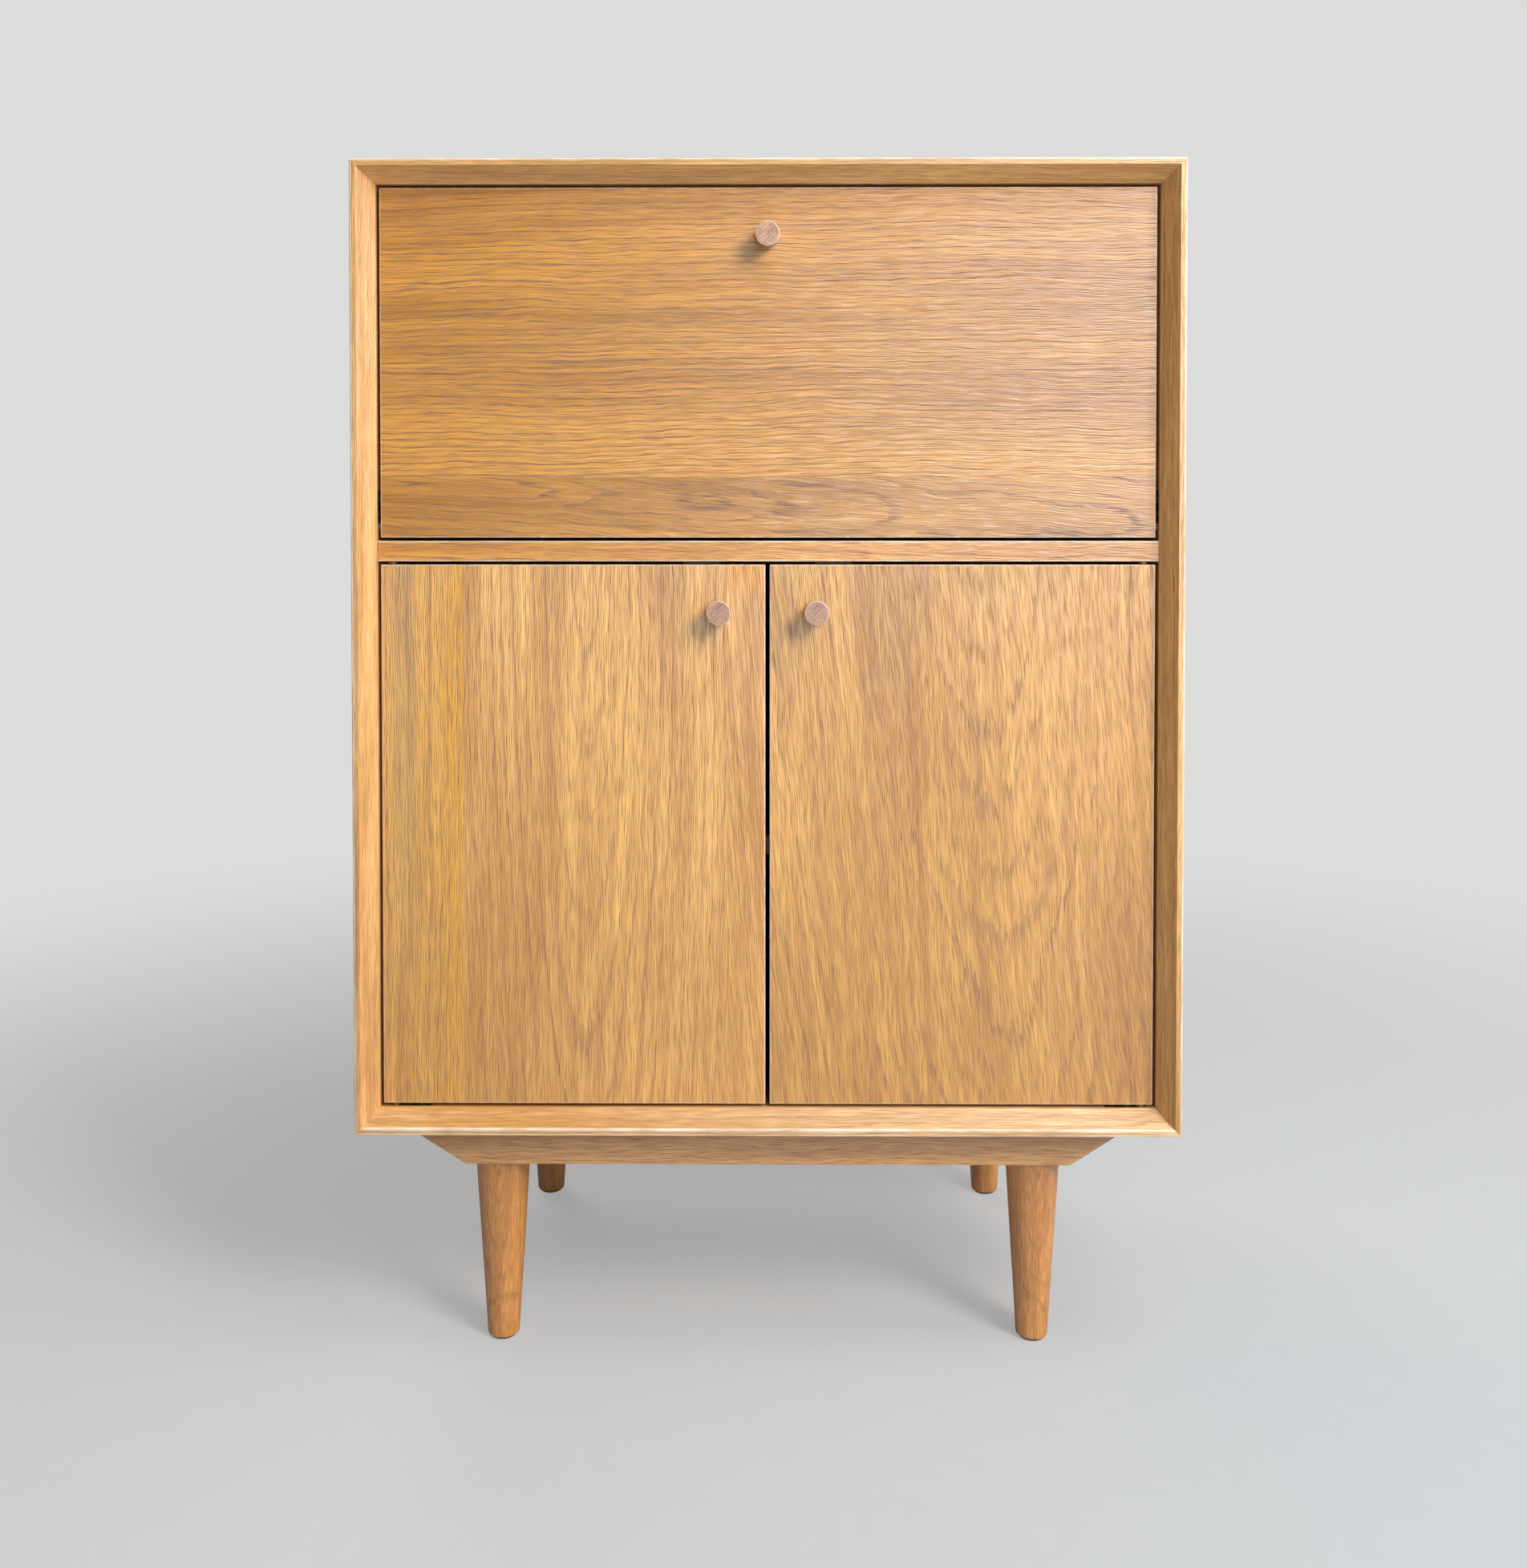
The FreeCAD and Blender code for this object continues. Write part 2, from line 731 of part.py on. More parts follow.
def build_legs():
    """Four turned legs, each on a hanger bolt in a threaded insert, with a glide under its foot."""
    profile = (
        (ZERO, dim.glide_thickness),
        (dim.leg_foot_radius, dim.glide_thickness),
        (dim.leg_top_radius, dim.leg_height),
        (ZERO, dim.leg_height),
    )
    bolts = []
    inserts = []
    glides = []
    for end, way in ENDS:
        for hand, sign in SIDES:
            name = f"{end}_{hand}_leg"
            body = turned(name, profile)
            soften(body, f"{name}_foot", dim.leg_foot_arris,
                   lambda point: near(point.z, dim.glide_thickness))
            x = sign * leg_x
            y = way * leg_y
            put(body, x, y, ZERO)
            seat = (x, y, base_under)
            bolt_start = (x, y, base_under - dim.bolt_in_leg)
            bolt_length = dim.bolt_in_leg + dim.bolt_in_base
            bolts.append(round_bar("leg_bolt", "Z", bolt_start, bolt_length, dim.bolt_radius))
            sleeve = round_bar("insert_sleeve", "Z", seat, dim.insert_length, dim.insert_radius)
            bore = round_bar("insert_bore", "Z", seat, dim.insert_length, dim.bolt_radius)
            inserts.append(cut("leg_insert", sleeve, bore))
            disc = round_bar("glide_disc", "Z", (x, y, ZERO), dim.glide_thickness, dim.glide_radius)
            nail = round_bar("glide_nail", "Z", (x, y, ZERO), dim.glide_thickness + dim.glide_nail_length,
                             dim.glide_nail_radius)
            glides.append(fuse("glide", disc, nail))
    nodes["leg_hanger_bolts"] = group("leg_hanger_bolts", bolts)
    nodes["leg_thread_inserts"] = group("leg_thread_inserts", inserts)
    nodes["foot_glides"] = group("foot_glides", glides)


def knob(name, x, z):
    """A turned knob on a front, with its narrow end against the wood."""
    body = turned(name, (
        (ZERO, ZERO),
        (dim.knob_base_radius, ZERO),
        (dim.knob_face_radius, dim.knob_length),
        (ZERO, dim.knob_length),
    ))
    soften(body, f"{name}_arris", dim.knob_arris, lambda point: near(point.z, dim.knob_length))
    turn(body, FreeCAD.Rotation(FreeCAD.Vector(1, 0, 0), 90))
    put(body, x, face, z)
    screws(f"{name}_screw", [((x, inside, z), FORWARD)], dim.knob_screw_radius, dim.knob_screw_head_radius,
           dim.knob_screw_head_height, dim.front_thickness + dim.knob_screw_bite)


def build_fronts():
    """The flap and the two doors with their knobs."""
    depth = (face, inside)
    body = board("flap_panel", (-front_half, front_half), depth, (flap_bottom, flap_top))
    soften(body, "flap_arrises", dim.front_arris)
    knob("flap_knob", ZERO, flap_top - dim.flap_knob_drop)
    meeting = dim.middle_gap / 2
    for hand, sign in SIDES:
        span = side_span(sign, meeting, front_half)
        body = board(f"{hand}_door_panel", span, depth, (door_bottom, door_top))
        soften(body, f"{hand}_door_arrises", dim.front_arris)
        knob(f"{hand}_door_knob", sign * (meeting + dim.door_knob_inset), door_top - dim.door_knob_drop)


def pivot_hinge(name, along, axis, gap, x, y, z):
    """One pivot hinge: the plate with the pin on the front's edge, the plate with the bore on the case.

    The plates run along one way from the pivot, the pin points along the axis into the case, and the place
    is the pivot on the front's edge.
    """
    rotation = FreeCAD.Rotation(along, axis.cross(along), axis, "XZY")
    half = dim.plate_width / 2
    pin_top = gap + dim.plate_thickness + dim.pivot_pin_tail
    span = (ZERO, dim.plate_length)
    width = (-half, half)

    def bar(part, low, high, radius):
        return round_bar(f"{name}_{part}", "Z", (ZERO, ZERO, low), high - low, radius)

    def seated(piece):
        turn(piece, rotation)
        put(piece, x, y, z)
        return piece

    moving = fuse(
        f"{name}_pin_plate",
        box(f"{name}_pin_strip", span, width, (-dim.plate_thickness, ZERO)),
        bar("pin_end", -dim.plate_thickness, ZERO, half),
        bar("pin", -dim.plate_thickness, pin_top, dim.pivot_pin_radius),
    )
    plate = fuse(
        f"{name}_bore_plate_blank",
        box(f"{name}_bore_strip", span, width, (gap, gap + dim.plate_thickness)),
        bar("bore_end", gap, gap + dim.plate_thickness, half),
        bar("boss", dim.pivot_end_play, gap, dim.pivot_boss_radius),
    )
    bore = bar("bore", ZERO, pin_top, dim.pivot_pin_radius + dim.running_clearance)
    fixed = cut(f"{name}_bore_plate", plate, bore)
    room = bar("pin_room", gap - dim.overrun, pin_top + dim.pin_hole_clearance,
               dim.pivot_pin_radius + dim.pin_hole_clearance)
    last = dim.plate_length - dim.plate_screw_margin
    moving_places = []
    fixed_places = []
    for run in (last - dim.plate_screw_pitch, last):
        place = shifted((x, y, z), along, run)
        moving_places.append((place, -axis))
        fixed_places.append((shifted(place, axis, gap), axis))
    return SimpleNamespace(moving=seated(moving), fixed=seated(fixed), room=seated(room),
                           moving_places=moving_places, fixed_places=fixed_places)


def build_hinges():
    """Pivot hinges: at the top and bottom of each door's outer edge and at the flap's lower corners."""
    sets = {}
    flap_hinges = []
    for hand, sign in SIDES:
        inward = OUTWARD[-sign]
        x = sign * door_pivot_x
        top = pivot_hinge(f"{hand}_door_top", inward, UP, dim.door_top_gap, x, pivot_y, door_top)
        bottom = pivot_hinge(f"{hand}_door_bottom", inward, DOWN, dim.door_bottom_gap, x, pivot_y,
                             door_bottom)
        sets[hand] = [top, bottom]
        flap_hinges.append(pivot_hinge(f"{hand}_flap", UP, OUTWARD[sign], dim.side_gap,
                                       sign * front_half, pivot_y, flap_pivot_z))
        nodes[f"{hand}_door_pivot_plates"] = group(f"{hand}_door_pivot_plates", [top.moving, bottom.moving])
        nodes[f"{hand}_door_case_plates"] = group(f"{hand}_door_case_plates", [top.fixed, bottom.fixed])
    sets["flap"] = flap_hinges
    nodes["flap_pivot_plates"] = group("flap_pivot_plates", [hinge.moving for hinge in flap_hinges])
    nodes["flap_case_plates"] = group("flap_case_plates", [hinge.fixed for hinge in flap_hinges])
    return sets


def build_stays():
    """A sliding stay on each side: bracket and rod on the flap, swivelling guide and bracket on the wall."""
    wall_places = []
    flap_places = []
    recesses = {}
    for hand, sign in SIDES:
        eye_half = dim.stay_eye_width / 2
        middle = sign * stay_x

        # Rod with its eye, built along Y from the eye's middle, then turned to point through the guide
        stop_start = open_chord + dim.guide_radius + dim.stay_stop_play
        rod_length = stop_start + dim.stay_stop_length
        bar_start = (dim.stay_pin_radius + dim.stay_eye_radius) / 2
        bar = round_bar(f"{hand}_rod_bar", "Y", (ZERO, bar_start, ZERO), rod_length - bar_start,
                        dim.stay_rod_radius)
        ring = round_bar(f"{hand}_rod_ring", "X", (-eye_half, ZERO, ZERO), dim.stay_eye_width,
                         dim.stay_eye_radius)
        hole = round_bar(f"{hand}_rod_hole", "X", (-eye_half - dim.overrun, ZERO, ZERO),
                         dim.stay_eye_width + dim.overrun * 2, dim.stay_pin_radius + dim.running_clearance)
        rod = cut(f"{hand}_stay_rod", fuse(f"{hand}_rod_blank", bar, ring), hole)
        collar = round_bar(f"{hand}_stop_collar", "Y", (ZERO, stop_start, ZERO), dim.stay_stop_length,
                           dim.stay_stop_radius)
        core = round_bar(f"{hand}_stop_core", "Y", (ZERO, stop_start, ZERO), dim.stay_stop_length,
                         dim.stay_rod_radius)
        stop = cut(f"{hand}_stay_end_stop", collar, core)
        for piece in (rod, stop):
            tilt(piece, stay_slope)
            put(piece, middle, stay_pin_y, stay_pin_z)
            nodes[piece.Name] = piece

        # Guide: a barrel with a cross bore for the rod, on a stud that is headed behind the wall bracket
        barrel_half = dim.guide_length / 2
        barrel = round_bar_x(f"{hand}_guide_barrel", sign, stay_x - barrel_half, stay_x + barrel_half,
                             guide_y, guide_z, dim.guide_radius)
        stud = round_bar_x(f"{hand}_guide_stud", sign, stay_x + barrel_half, inner_half, guide_y, guide_z,
                           dim.guide_stud_radius)
        head = round_bar_x(f"{hand}_guide_head", sign, inner_half, inner_half + dim.guide_head_height,
                           guide_y, guide_z, dim.guide_head_radius)
        bore_half = dim.guide_radius + dim.overrun
        bore = round_bar(f"{hand}_guide_bore_bar", "Y", (ZERO, -bore_half, ZERO), bore_half * 2,
                         dim.stay_rod_radius + dim.stay_slide_clearance)
        bore_seat = group(f"{hand}_guide_bore", [bore])
        tilt(bore_seat, stay_slope)
        put(bore_seat, middle, guide_y, guide_z)
        blank = fuse(f"{hand}_guide_blank", barrel, stud, head)
        nodes[f"{hand}_stay_guide"] = cut(f"{hand}_stay_guide", blank, bore_seat)
        clear_head = dim.guide_head_radius + dim.guide_head_clearance
        recesses[hand] = round_bar_x(f"{hand}_head_recess", sign, inner_half - dim.overrun,
                                     inner_half + dim.guide_head_height + dim.guide_head_clearance,
                                     guide_y, guide_z, clear_head)

        # Wall bracket that the stud turns in
        wall_half = dim.wall_bracket_width / 2
        wall_rise = dim.wall_bracket_height / 2
        bracket_face = inner_half - dim.wall_bracket_thickness
        strip = box(f"{hand}_wall_strip", side_span(sign, bracket_face, inner_half),
                    (guide_y - wall_half, guide_y + wall_half), (guide_z - wall_rise, guide_z + wall_rise))
        turning = round_bar_x(f"{hand}_wall_bore", sign, bracket_face - dim.overrun,
                              inner_half + dim.overrun, guide_y, guide_z,
                              dim.guide_stud_radius + dim.running_clearance)
        nodes[f"{hand}_stay_wall_bracket"] = cut(f"{hand}_stay_wall_bracket", strip, turning)
        for way in (-1, 1):
            level = guide_z + way * (wall_rise - dim.wall_bracket_screw_margin)
            wall_places.append(((sign * bracket_face, guide_y, level), OUTWARD[sign]))

        # Flap bracket: foot on the flap, ear beside the eye, and a headed pin through the eye
        ear_outer = stay_x - eye_half - dim.stay_side_play
        ear_inner = ear_outer - dim.ear_thickness
        foot_face = inside + dim.flap_bracket_thickness
        foot_rise = dim.flap_bracket_height / 2
        foot = box(f"{hand}_bracket_foot", side_span(sign, ear_outer - dim.flap_bracket_width, ear_outer),
                   (inside, foot_face), (stay_pin_z - foot_rise, stay_pin_z + foot_rise))
        ear = box(f"{hand}_bracket_ear", side_span(sign, ear_inner, ear_outer),
                  (inside, stay_pin_y + dim.ear_reach),
                  (stay_pin_z - dim.ear_height / 2, stay_pin_z + dim.ear_height / 2))
        pin_end = stay_x + eye_half + dim.stay_side_play
        pin = round_bar_x(f"{hand}_bracket_pin", sign, ear_inner, pin_end, stay_pin_y, stay_pin_z,
                          dim.stay_pin_radius)
        pin_head = round_bar_x(f"{hand}_bracket_pin_head", sign, pin_end,
                               pin_end + dim.stay_pin_head_height, stay_pin_y, stay_pin_z,
                               dim.stay_pin_head_radius)
        nodes[f"{hand}_stay_flap_bracket"] = fuse(f"{hand}_stay_flap_bracket", foot, ear, pin, pin_head)
        for way in (-1, 1):
            level = stay_pin_z + way * (foot_rise - dim.flap_bracket_screw_margin)
            place = (sign * (ear_outer - dim.flap_bracket_width / 2), foot_face, level)
            flap_places.append((place, FORWARD))
    return wall_places, flap_places, recesses


def catch(name, x, under):
    """One magnetic catch hung under a panel, and the strike plate that meets it on the front."""
    strike_face = inside + dim.strike_thickness
    magnet_face = strike_face + dim.catch_gap
    house_face = magnet_face + dim.magnet_proud
    level = under - dim.magnet_drop
    house_rear = house_face + dim.catch_depth
    house_half = dim.catch_width / 2
    house = box(f"{name}_house_block", (x - house_half, x + house_half), (house_face, house_rear),
                (under - dim.catch_height, under))
    half = dim.magnet_width / 2
    rise = dim.magnet_height / 2
    magnet = box(f"{name}_magnet_block", (x - half, x + half),
                 (magnet_face, magnet_face + dim.magnet_depth), (level - rise, level + rise))
    half = dim.strike_width / 2
    rise = dim.strike_height / 2
    strike = box(f"{name}_strike_plate", (x - half, x + half), (inside, strike_face),
                 (level - rise, level + rise))
    spread = house_half - dim.catch_screw_margin
    screw_y = house_rear - dim.catch_screw_rear_margin
    house_places = [((x + way * spread, screw_y, under - dim.catch_height), UP) for way in (-1, 1)]
    strike_places = [((x, strike_face, level), FORWARD)]
    return SimpleNamespace(house=cut(f"{name}_housing", house, magnet), magnet=magnet, strike=strike,
                           house_places=house_places, strike_places=strike_places)


def build_catches():
    """Two catches for the flap under the top panel and one for each door under the divider."""
    flap = []
    doors = {}
    for hand, sign in SIDES:
        flap.append(catch(f"{hand}_flap_catch", sign * dim.flap_catch_offset, ceiling_level))
        doors[hand] = catch(f"{hand}_door_catch", sign * dim.door_catch_offset, divider_under)
    every = flap + list(doors.values())
    nodes["catch_housings"] = group("catch_housings", [item.house for item in every])
    nodes["catch_magnets"] = group("catch_magnets", [item.magnet for item in every])
    nodes["flap_strike_plates"] = group("flap_strike_plates", [item.strike for item in flap])
    for hand, item in doors.items():
        nodes[f"{hand}_door_strike_plate"] = item.strike
    places = [place for item in every for place in item.house_places]
    screws("catch_screws", places, dim.screw_radius, dim.screw_head_radius, dim.screw_head_height,
           dim.catch_height + dim.catch_screw_bite)
    return flap, doors


def let_in(name, *tools):
    """Cuts a piece by what is let into it."""
    for tool in tools:
        nodes[name] = cut(f"{name}_fitted", nodes[name], tool)


def check_and_write():
    """Stops on any failed object, then writes each piece to its own file."""
    doc.recompute()
    failed = [item.Name for item in doc.Objects if {"Invalid", "Error"} & set(item.State)]
    if failed:
        raise RuntimeError(f"failed objects: {failed}")
    for name, item in nodes.items():
        if item.Shape.isNull() or not item.Shape.isValid() or not item.Shape.Solids:
            raise RuntimeError(f"bad shape: {name}")
    os.makedirs("parts", exist_ok=True)
    for name, item in nodes.items():
        item.Label = name
        item.Shape.exportStep(os.path.join("parts", f"{name}.step"))
    print(f"{len(nodes)} nodes, {sum(len(item.Shape.Solids) for item in nodes.values())} solids")


build_case()
build_divider()
build_back()
shelf_holes = build_shelf()
build_base()
build_legs()
build_fronts()
hinges = build_hinges()
wall_screw_places, flap_screw_places, head_recesses = build_stays()
flap_catches, door_catches = build_catches()

# Screws of the fittings, one group for each moving or fixed assembly
case_places = [place for item in hinges.values() for hinge in item for place in hinge.fixed_places]
small_screws("case_fitting_screws", case_places + wall_screw_places)
flap_places = [place for hinge in hinges["flap"] for place in hinge.moving_places]
flap_places += [place for item in flap_catches for place in item.strike_places]
small_screws("flap_fitting_screws", flap_places + flap_screw_places)
for hand, _ in SIDES:
    door_places = [place for hinge in hinges[hand] for place in hinge.moving_places]
    small_screws(f"{hand}_door_fitting_screws", door_places + door_catches[hand].strike_places)

# Mortises, bores and screw holes
back_screws = nodes["back_panel_screws"]
case_screws = nodes["case_fitting_screws"]
door_plates = [nodes["left_door_case_plates"], nodes["right_door_case_plates"]]
splines = nodes["corner_splines"]
dowels = nodes["divider_dowels"]
catch_screws = nodes["catch_screws"]
base_screws = nodes["base_fixing_screws"]
door_rooms = [hinge.room for hand, _ in SIDES for hinge in hinges[hand]]
let_in("top_panel", splines, back_screws, catch_screws)
let_in("bottom_panel", splines, back_screws, base_screws, *door_plates, *door_rooms, case_screws)
let_in("divider_shelf", dowels, back_screws, catch_screws, *door_plates, *door_rooms, case_screws)
let_in("back_panel", back_screws)
for index, (hand, _) in enumerate(SIDES):
    let_in(f"{hand}_side_panel", splines, dowels, back_screws, shelf_holes[hand], nodes["flap_case_plates"],
           hinges["flap"][index].room, head_recesses[hand], case_screws)
    let_in(f"{hand}_door_panel", nodes[f"{hand}_door_pivot_plates"], nodes[f"{hand}_door_fitting_screws"],
           nodes[f"{hand}_door_knob_screw"])
    for piece in (f"{hand}_door_pivot_plates", f"{hand}_door_strike_plate"):
        let_in(piece, nodes[f"{hand}_door_fitting_screws"])
    let_in(f"{hand}_door_knob", nodes[f"{hand}_door_knob_screw"])
    let_in(f"{hand}_door_case_plates", case_screws)
    let_in(f"{hand}_stay_wall_bracket", case_screws)
    let_in(f"{hand}_stay_flap_bracket", nodes["flap_fitting_screws"])
    for end, _ in ENDS:
        let_in(f"{end}_{hand}_leg", nodes["leg_hanger_bolts"], nodes["foot_glides"])
let_in("flap_panel", nodes["flap_pivot_plates"], nodes["flap_fitting_screws"], nodes["flap_knob_screw"])
for piece in ("flap_pivot_plates", "flap_strike_plates"):
    let_in(piece, nodes["flap_fitting_screws"])
let_in("flap_knob", nodes["flap_knob_screw"])
let_in("flap_case_plates", case_screws)
let_in("catch_housings", catch_screws)
let_in("base_leg_blocks", base_screws, nodes["leg_hanger_bolts"], nodes["leg_thread_inserts"])

check_and_write()
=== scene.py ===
"""Looks of an oak bar cabinet with a fold-out shelf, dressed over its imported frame."""

import json
import logging
import math
from dataclasses import dataclass, field, replace
from enum import Enum
from typing import Mapping, Sequence, Union

import bmesh
import bpy
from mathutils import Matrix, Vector

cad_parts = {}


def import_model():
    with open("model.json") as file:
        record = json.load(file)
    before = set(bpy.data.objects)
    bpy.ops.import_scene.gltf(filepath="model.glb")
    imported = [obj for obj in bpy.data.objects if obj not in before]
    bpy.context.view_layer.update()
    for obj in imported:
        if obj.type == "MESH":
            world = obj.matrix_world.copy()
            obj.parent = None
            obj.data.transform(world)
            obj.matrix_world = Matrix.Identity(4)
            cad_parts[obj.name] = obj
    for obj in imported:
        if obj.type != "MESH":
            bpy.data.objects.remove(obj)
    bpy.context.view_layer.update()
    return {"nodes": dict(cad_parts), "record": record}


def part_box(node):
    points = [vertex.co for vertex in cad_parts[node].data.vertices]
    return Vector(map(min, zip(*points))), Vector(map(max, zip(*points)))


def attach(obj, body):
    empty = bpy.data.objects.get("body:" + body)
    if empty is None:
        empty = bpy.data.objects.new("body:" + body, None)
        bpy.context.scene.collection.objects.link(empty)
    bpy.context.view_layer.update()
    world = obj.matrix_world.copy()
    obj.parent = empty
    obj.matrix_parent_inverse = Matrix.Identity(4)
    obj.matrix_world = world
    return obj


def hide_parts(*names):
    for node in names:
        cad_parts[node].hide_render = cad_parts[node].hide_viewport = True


log = logging.getLogger("bar_cabinet")

Colour = tuple[float, float, float]
Point = tuple[float, float, float]
Span = tuple[float, float, float, float]
Operand = Union["Term", float]
Nodes = Mapping[str, bpy.types.Object]


class Term:
    """One output of a node tree, for use in sums with numbers and with other outputs."""

    def __init__(self, tree: "NodeTree", socket: bpy.types.NodeSocket) -> None:
        """Keeps the socket and the tree that it belongs to."""
        self.tree = tree
        self.socket = socket

    def math(self, operation: str, first: Operand, second: Operand = 0.0) -> "Term":
        """Adds one Math node, whose second value some operations leave unused."""
        return self.tree.add("ShaderNodeMath", {"operation": operation}, {0: first, 1: second})

    def __add__(self, other: Operand) -> "Term":
        """Sum."""
        return self.math("ADD", self, other)

    def __radd__(self, other: float) -> "Term":
        """Sum with a number first."""
        return self.math("ADD", other, self)

    def __sub__(self, other: Operand) -> "Term":
        """Difference."""
        return self.math("SUBTRACT", self, other)

    def __rsub__(self, other: float) -> "Term":
        """Difference from a number."""
        return self.math("SUBTRACT", other, self)

    def __mul__(self, other: Operand) -> "Term":
        """Product."""
        return self.math("MULTIPLY", self, other)

    def __rmul__(self, other: float) -> "Term":
        """Product with a number first."""
        return self.math("MULTIPLY", other, self)

    def __truediv__(self, other: Operand) -> "Term":
        """Quotient."""
        return self.math("DIVIDE", self, other)

    def __rtruediv__(self, other: float) -> "Term":
        """Quotient of a number."""
        return self.math("DIVIDE", other, self)

    def __abs__(self) -> "Term":
        """Size without its sign."""
        return self.math("ABSOLUTE", self)

    def fraction(self) -> "Term":
        """What is left over the whole number below."""
        return self.math("FRACT", self)

    def root(self) -> "Term":
        """Square root."""
        return self.math("SQRT", self)

    def above(self, edge: Operand) -> "Term":
        """One above the edge and zero below it."""
        return self.math("GREATER_THAN", self, edge)

    def least(self, other: Operand) -> "Term":
        """The smaller of two values."""
        return self.math("MINIMUM", self, other)

    def ease(self, low: float, high: float) -> "Term":
        """A smooth step from zero at the low value to one at the high value."""
        settings = {"interpolation_type": "SMOOTHSTEP"}
        return self.tree.add("ShaderNodeMapRange", settings, {0: self, 1: low, 2: high, 3: 0.0, 4: 1.0})

    def hypot(self, other: "Term") -> "Term":
        """The distance that two distances at a right angle make."""
        return (self * self + other * other).root()


class NodeTree:
    """A node tree of any kind, built by expressions."""

    def __init__(self, tree: bpy.types.NodeTree) -> None:
        """Takes the tree and clears it."""
        self.tree = tree
        self.tree.nodes.clear()

    def add(
        self,
        kind: str,
        settings: Mapping[str, object],
        inputs: Mapping[Union[int, str], object],
        output: Union[int, str] = 0,
    ) -> Term:
        """Adds one node.

        Args:
            kind: the node's type.
            settings: its properties, set before its sockets.
            inputs: values or terms by socket name or index, or a list of terms for one that takes several.
            output: which of its outputs is wanted.

        Returns:
            That output.
        """
        node = self.tree.nodes.new(kind)
        for key, value in settings.items():
            setattr(node, key, value)
        for key, value in inputs.items():
            for item in value if isinstance(value, list) else [value]:
                self.feed(node.inputs[key], item)
        return Term(self, node.outputs[output] if node.outputs else None)

    def feed(self, socket: bpy.types.NodeSocket, value: object) -> None:
        """Links a term to a socket, or sets the socket's own value.

        Args:
            socket: the socket.
            value: the term, or the value, where a colour comes without its alpha.
        """
        if isinstance(value, Term):
            self.tree.links.new(value.socket, socket)
        elif socket.type == "RGBA":
            socket.default_value = (*value, 1.0)
        else:
            socket.default_value = value


class ShaderTree(NodeTree):
    """The node tree of one material."""

    def __init__(self, name: str) -> None:
        """Starts an empty material of that name."""
        self.material = bpy.data.materials.new(name)
        self.material.use_nodes = True
        super().__init__(self.material.node_tree)

    def place(self) -> tuple[Term, Term, Term]:
        """The three coordinates of a point of the piece, in metres."""
        point = self.add("ShaderNodeTexCoord", {}, {}, "Object")
        parts = self.add("ShaderNodeSeparateXYZ", {}, {0: point})
        sockets = parts.socket.node.outputs
        return Term(self, sockets[0]), Term(self, sockets[1]), Term(self, sockets[2])

    def noise(self, x: Operand, y: Operand, z: Operand, detail: float = 2.0) -> Term:
        """Soft noise between zero and one, with one blotch to about one unit and some finer layers."""
        point = self.add("ShaderNodeCombineXYZ", {}, {0: x, 1: y, 2: z})
        return self.add("ShaderNodeTexNoise", {}, {"Vector": point, "Scale": 1.0, "Detail": detail}, 0)

    def cells(self, x: Operand, y: Operand, z: Operand) -> Term:
        """The distance from the middle of the nearest of many scattered cells, one to about one unit."""
        point = self.add("ShaderNodeCombineXYZ", {}, {0: x, 1: y, 2: z})
        return self.add("ShaderNodeTexVoronoi", {}, {"Vector": point, "Scale": 1.0}, "Distance")

    def blend(self, first: object, second: object, share: Operand, mode: str = "MIX") -> Term:
        """Mixes two colours by the share of the second."""
        settings = {"data_type": "RGBA", "blend_type": mode}
        return self.add("ShaderNodeMix", settings, {0: share, 6: first, 7: second}, 2)

    def relief(self, height: Term, depth: float, strength: float) -> Term:
        """A normal that follows a height, where one unit of height is as many metres as the depth says."""
        return self.add("ShaderNodeBump", {}, {"Height": height, "Distance": depth, "Strength": strength})

    def surface(self, sockets: Mapping[str, object]) -> bpy.types.Material:
        """Closes the material with one shader.

        Args:
            sockets: the shader's values and terms by name.

        Returns:
            The finished material.
        """
        shader = self.add("ShaderNodeBsdfPrincipled", {}, sockets)
        self.add("ShaderNodeOutputMaterial", {}, {"Surface": shader})
        return self.material


class Grain(Enum):
    """Which way a board lies: the axes along its grain, across it and through its thickness."""

    LEVEL_FRONT = (0, 2, 1)
    UPRIGHT_FRONT = (2, 0, 1)
    UPRIGHT_SIDE = (2, 1, 0)
    LEVEL_SHELF = (0, 1, 2)
    CROSS_RAIL = (1, 2, 0)
    END_ON = (1, 0, 2)


@dataclass(frozen=True)
class Leaf:
    """One board or leaf of veneer, told by where the heart of its log lay.

    Attributes:
        start: where the leaf begins across the grain.
        heart: where the heart lies across the grain at level zero along it.
        behind: how far the heart lies behind the show face at level zero along the grain.
        lean: how much nearer to the face the heart comes for each metre along the grain.
        drift: how far the heart slides across the grain for each metre along it.
        figure: how far the log swells and narrows along its length.
        growth: how wide a year's growth is beside the finish's own.
        lines: how strongly its growth lines show.
        pores: how strongly its pores show.
        ragged: how far its growth lines break up.
        gold: how far the colour leans to yellow, or to pink below zero.
        shade: how bright the leaf is beside its neighbours.
    """

    start: float
    heart: float
    behind: float
    lean: float = 0.0
    drift: float = 0.0
    figure: float = 0.006
    growth: float = 1.0
    lines: float = 1.0
    pores: float = 1.0
    ragged: float = 0.5
    gold: float = 0.0
    shade: float = 1.0


class Side(Enum):
    """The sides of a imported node's box: the low or high corner that lies on the side, and its axis."""

    LEFT = (0, 0)
    RIGHT = (1, 0)
    FRONT = (0, 1)
    BACK = (1, 1)
    UNDER = (0, 2)
    TOP = (1, 2)

    def of(self, node: str) -> float:
        """A dataclass field for the place of this side of a node, read once the frame is loaded."""
        corner, axis = self.value
        return field(default_factory=lambda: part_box(node)[corner][axis])


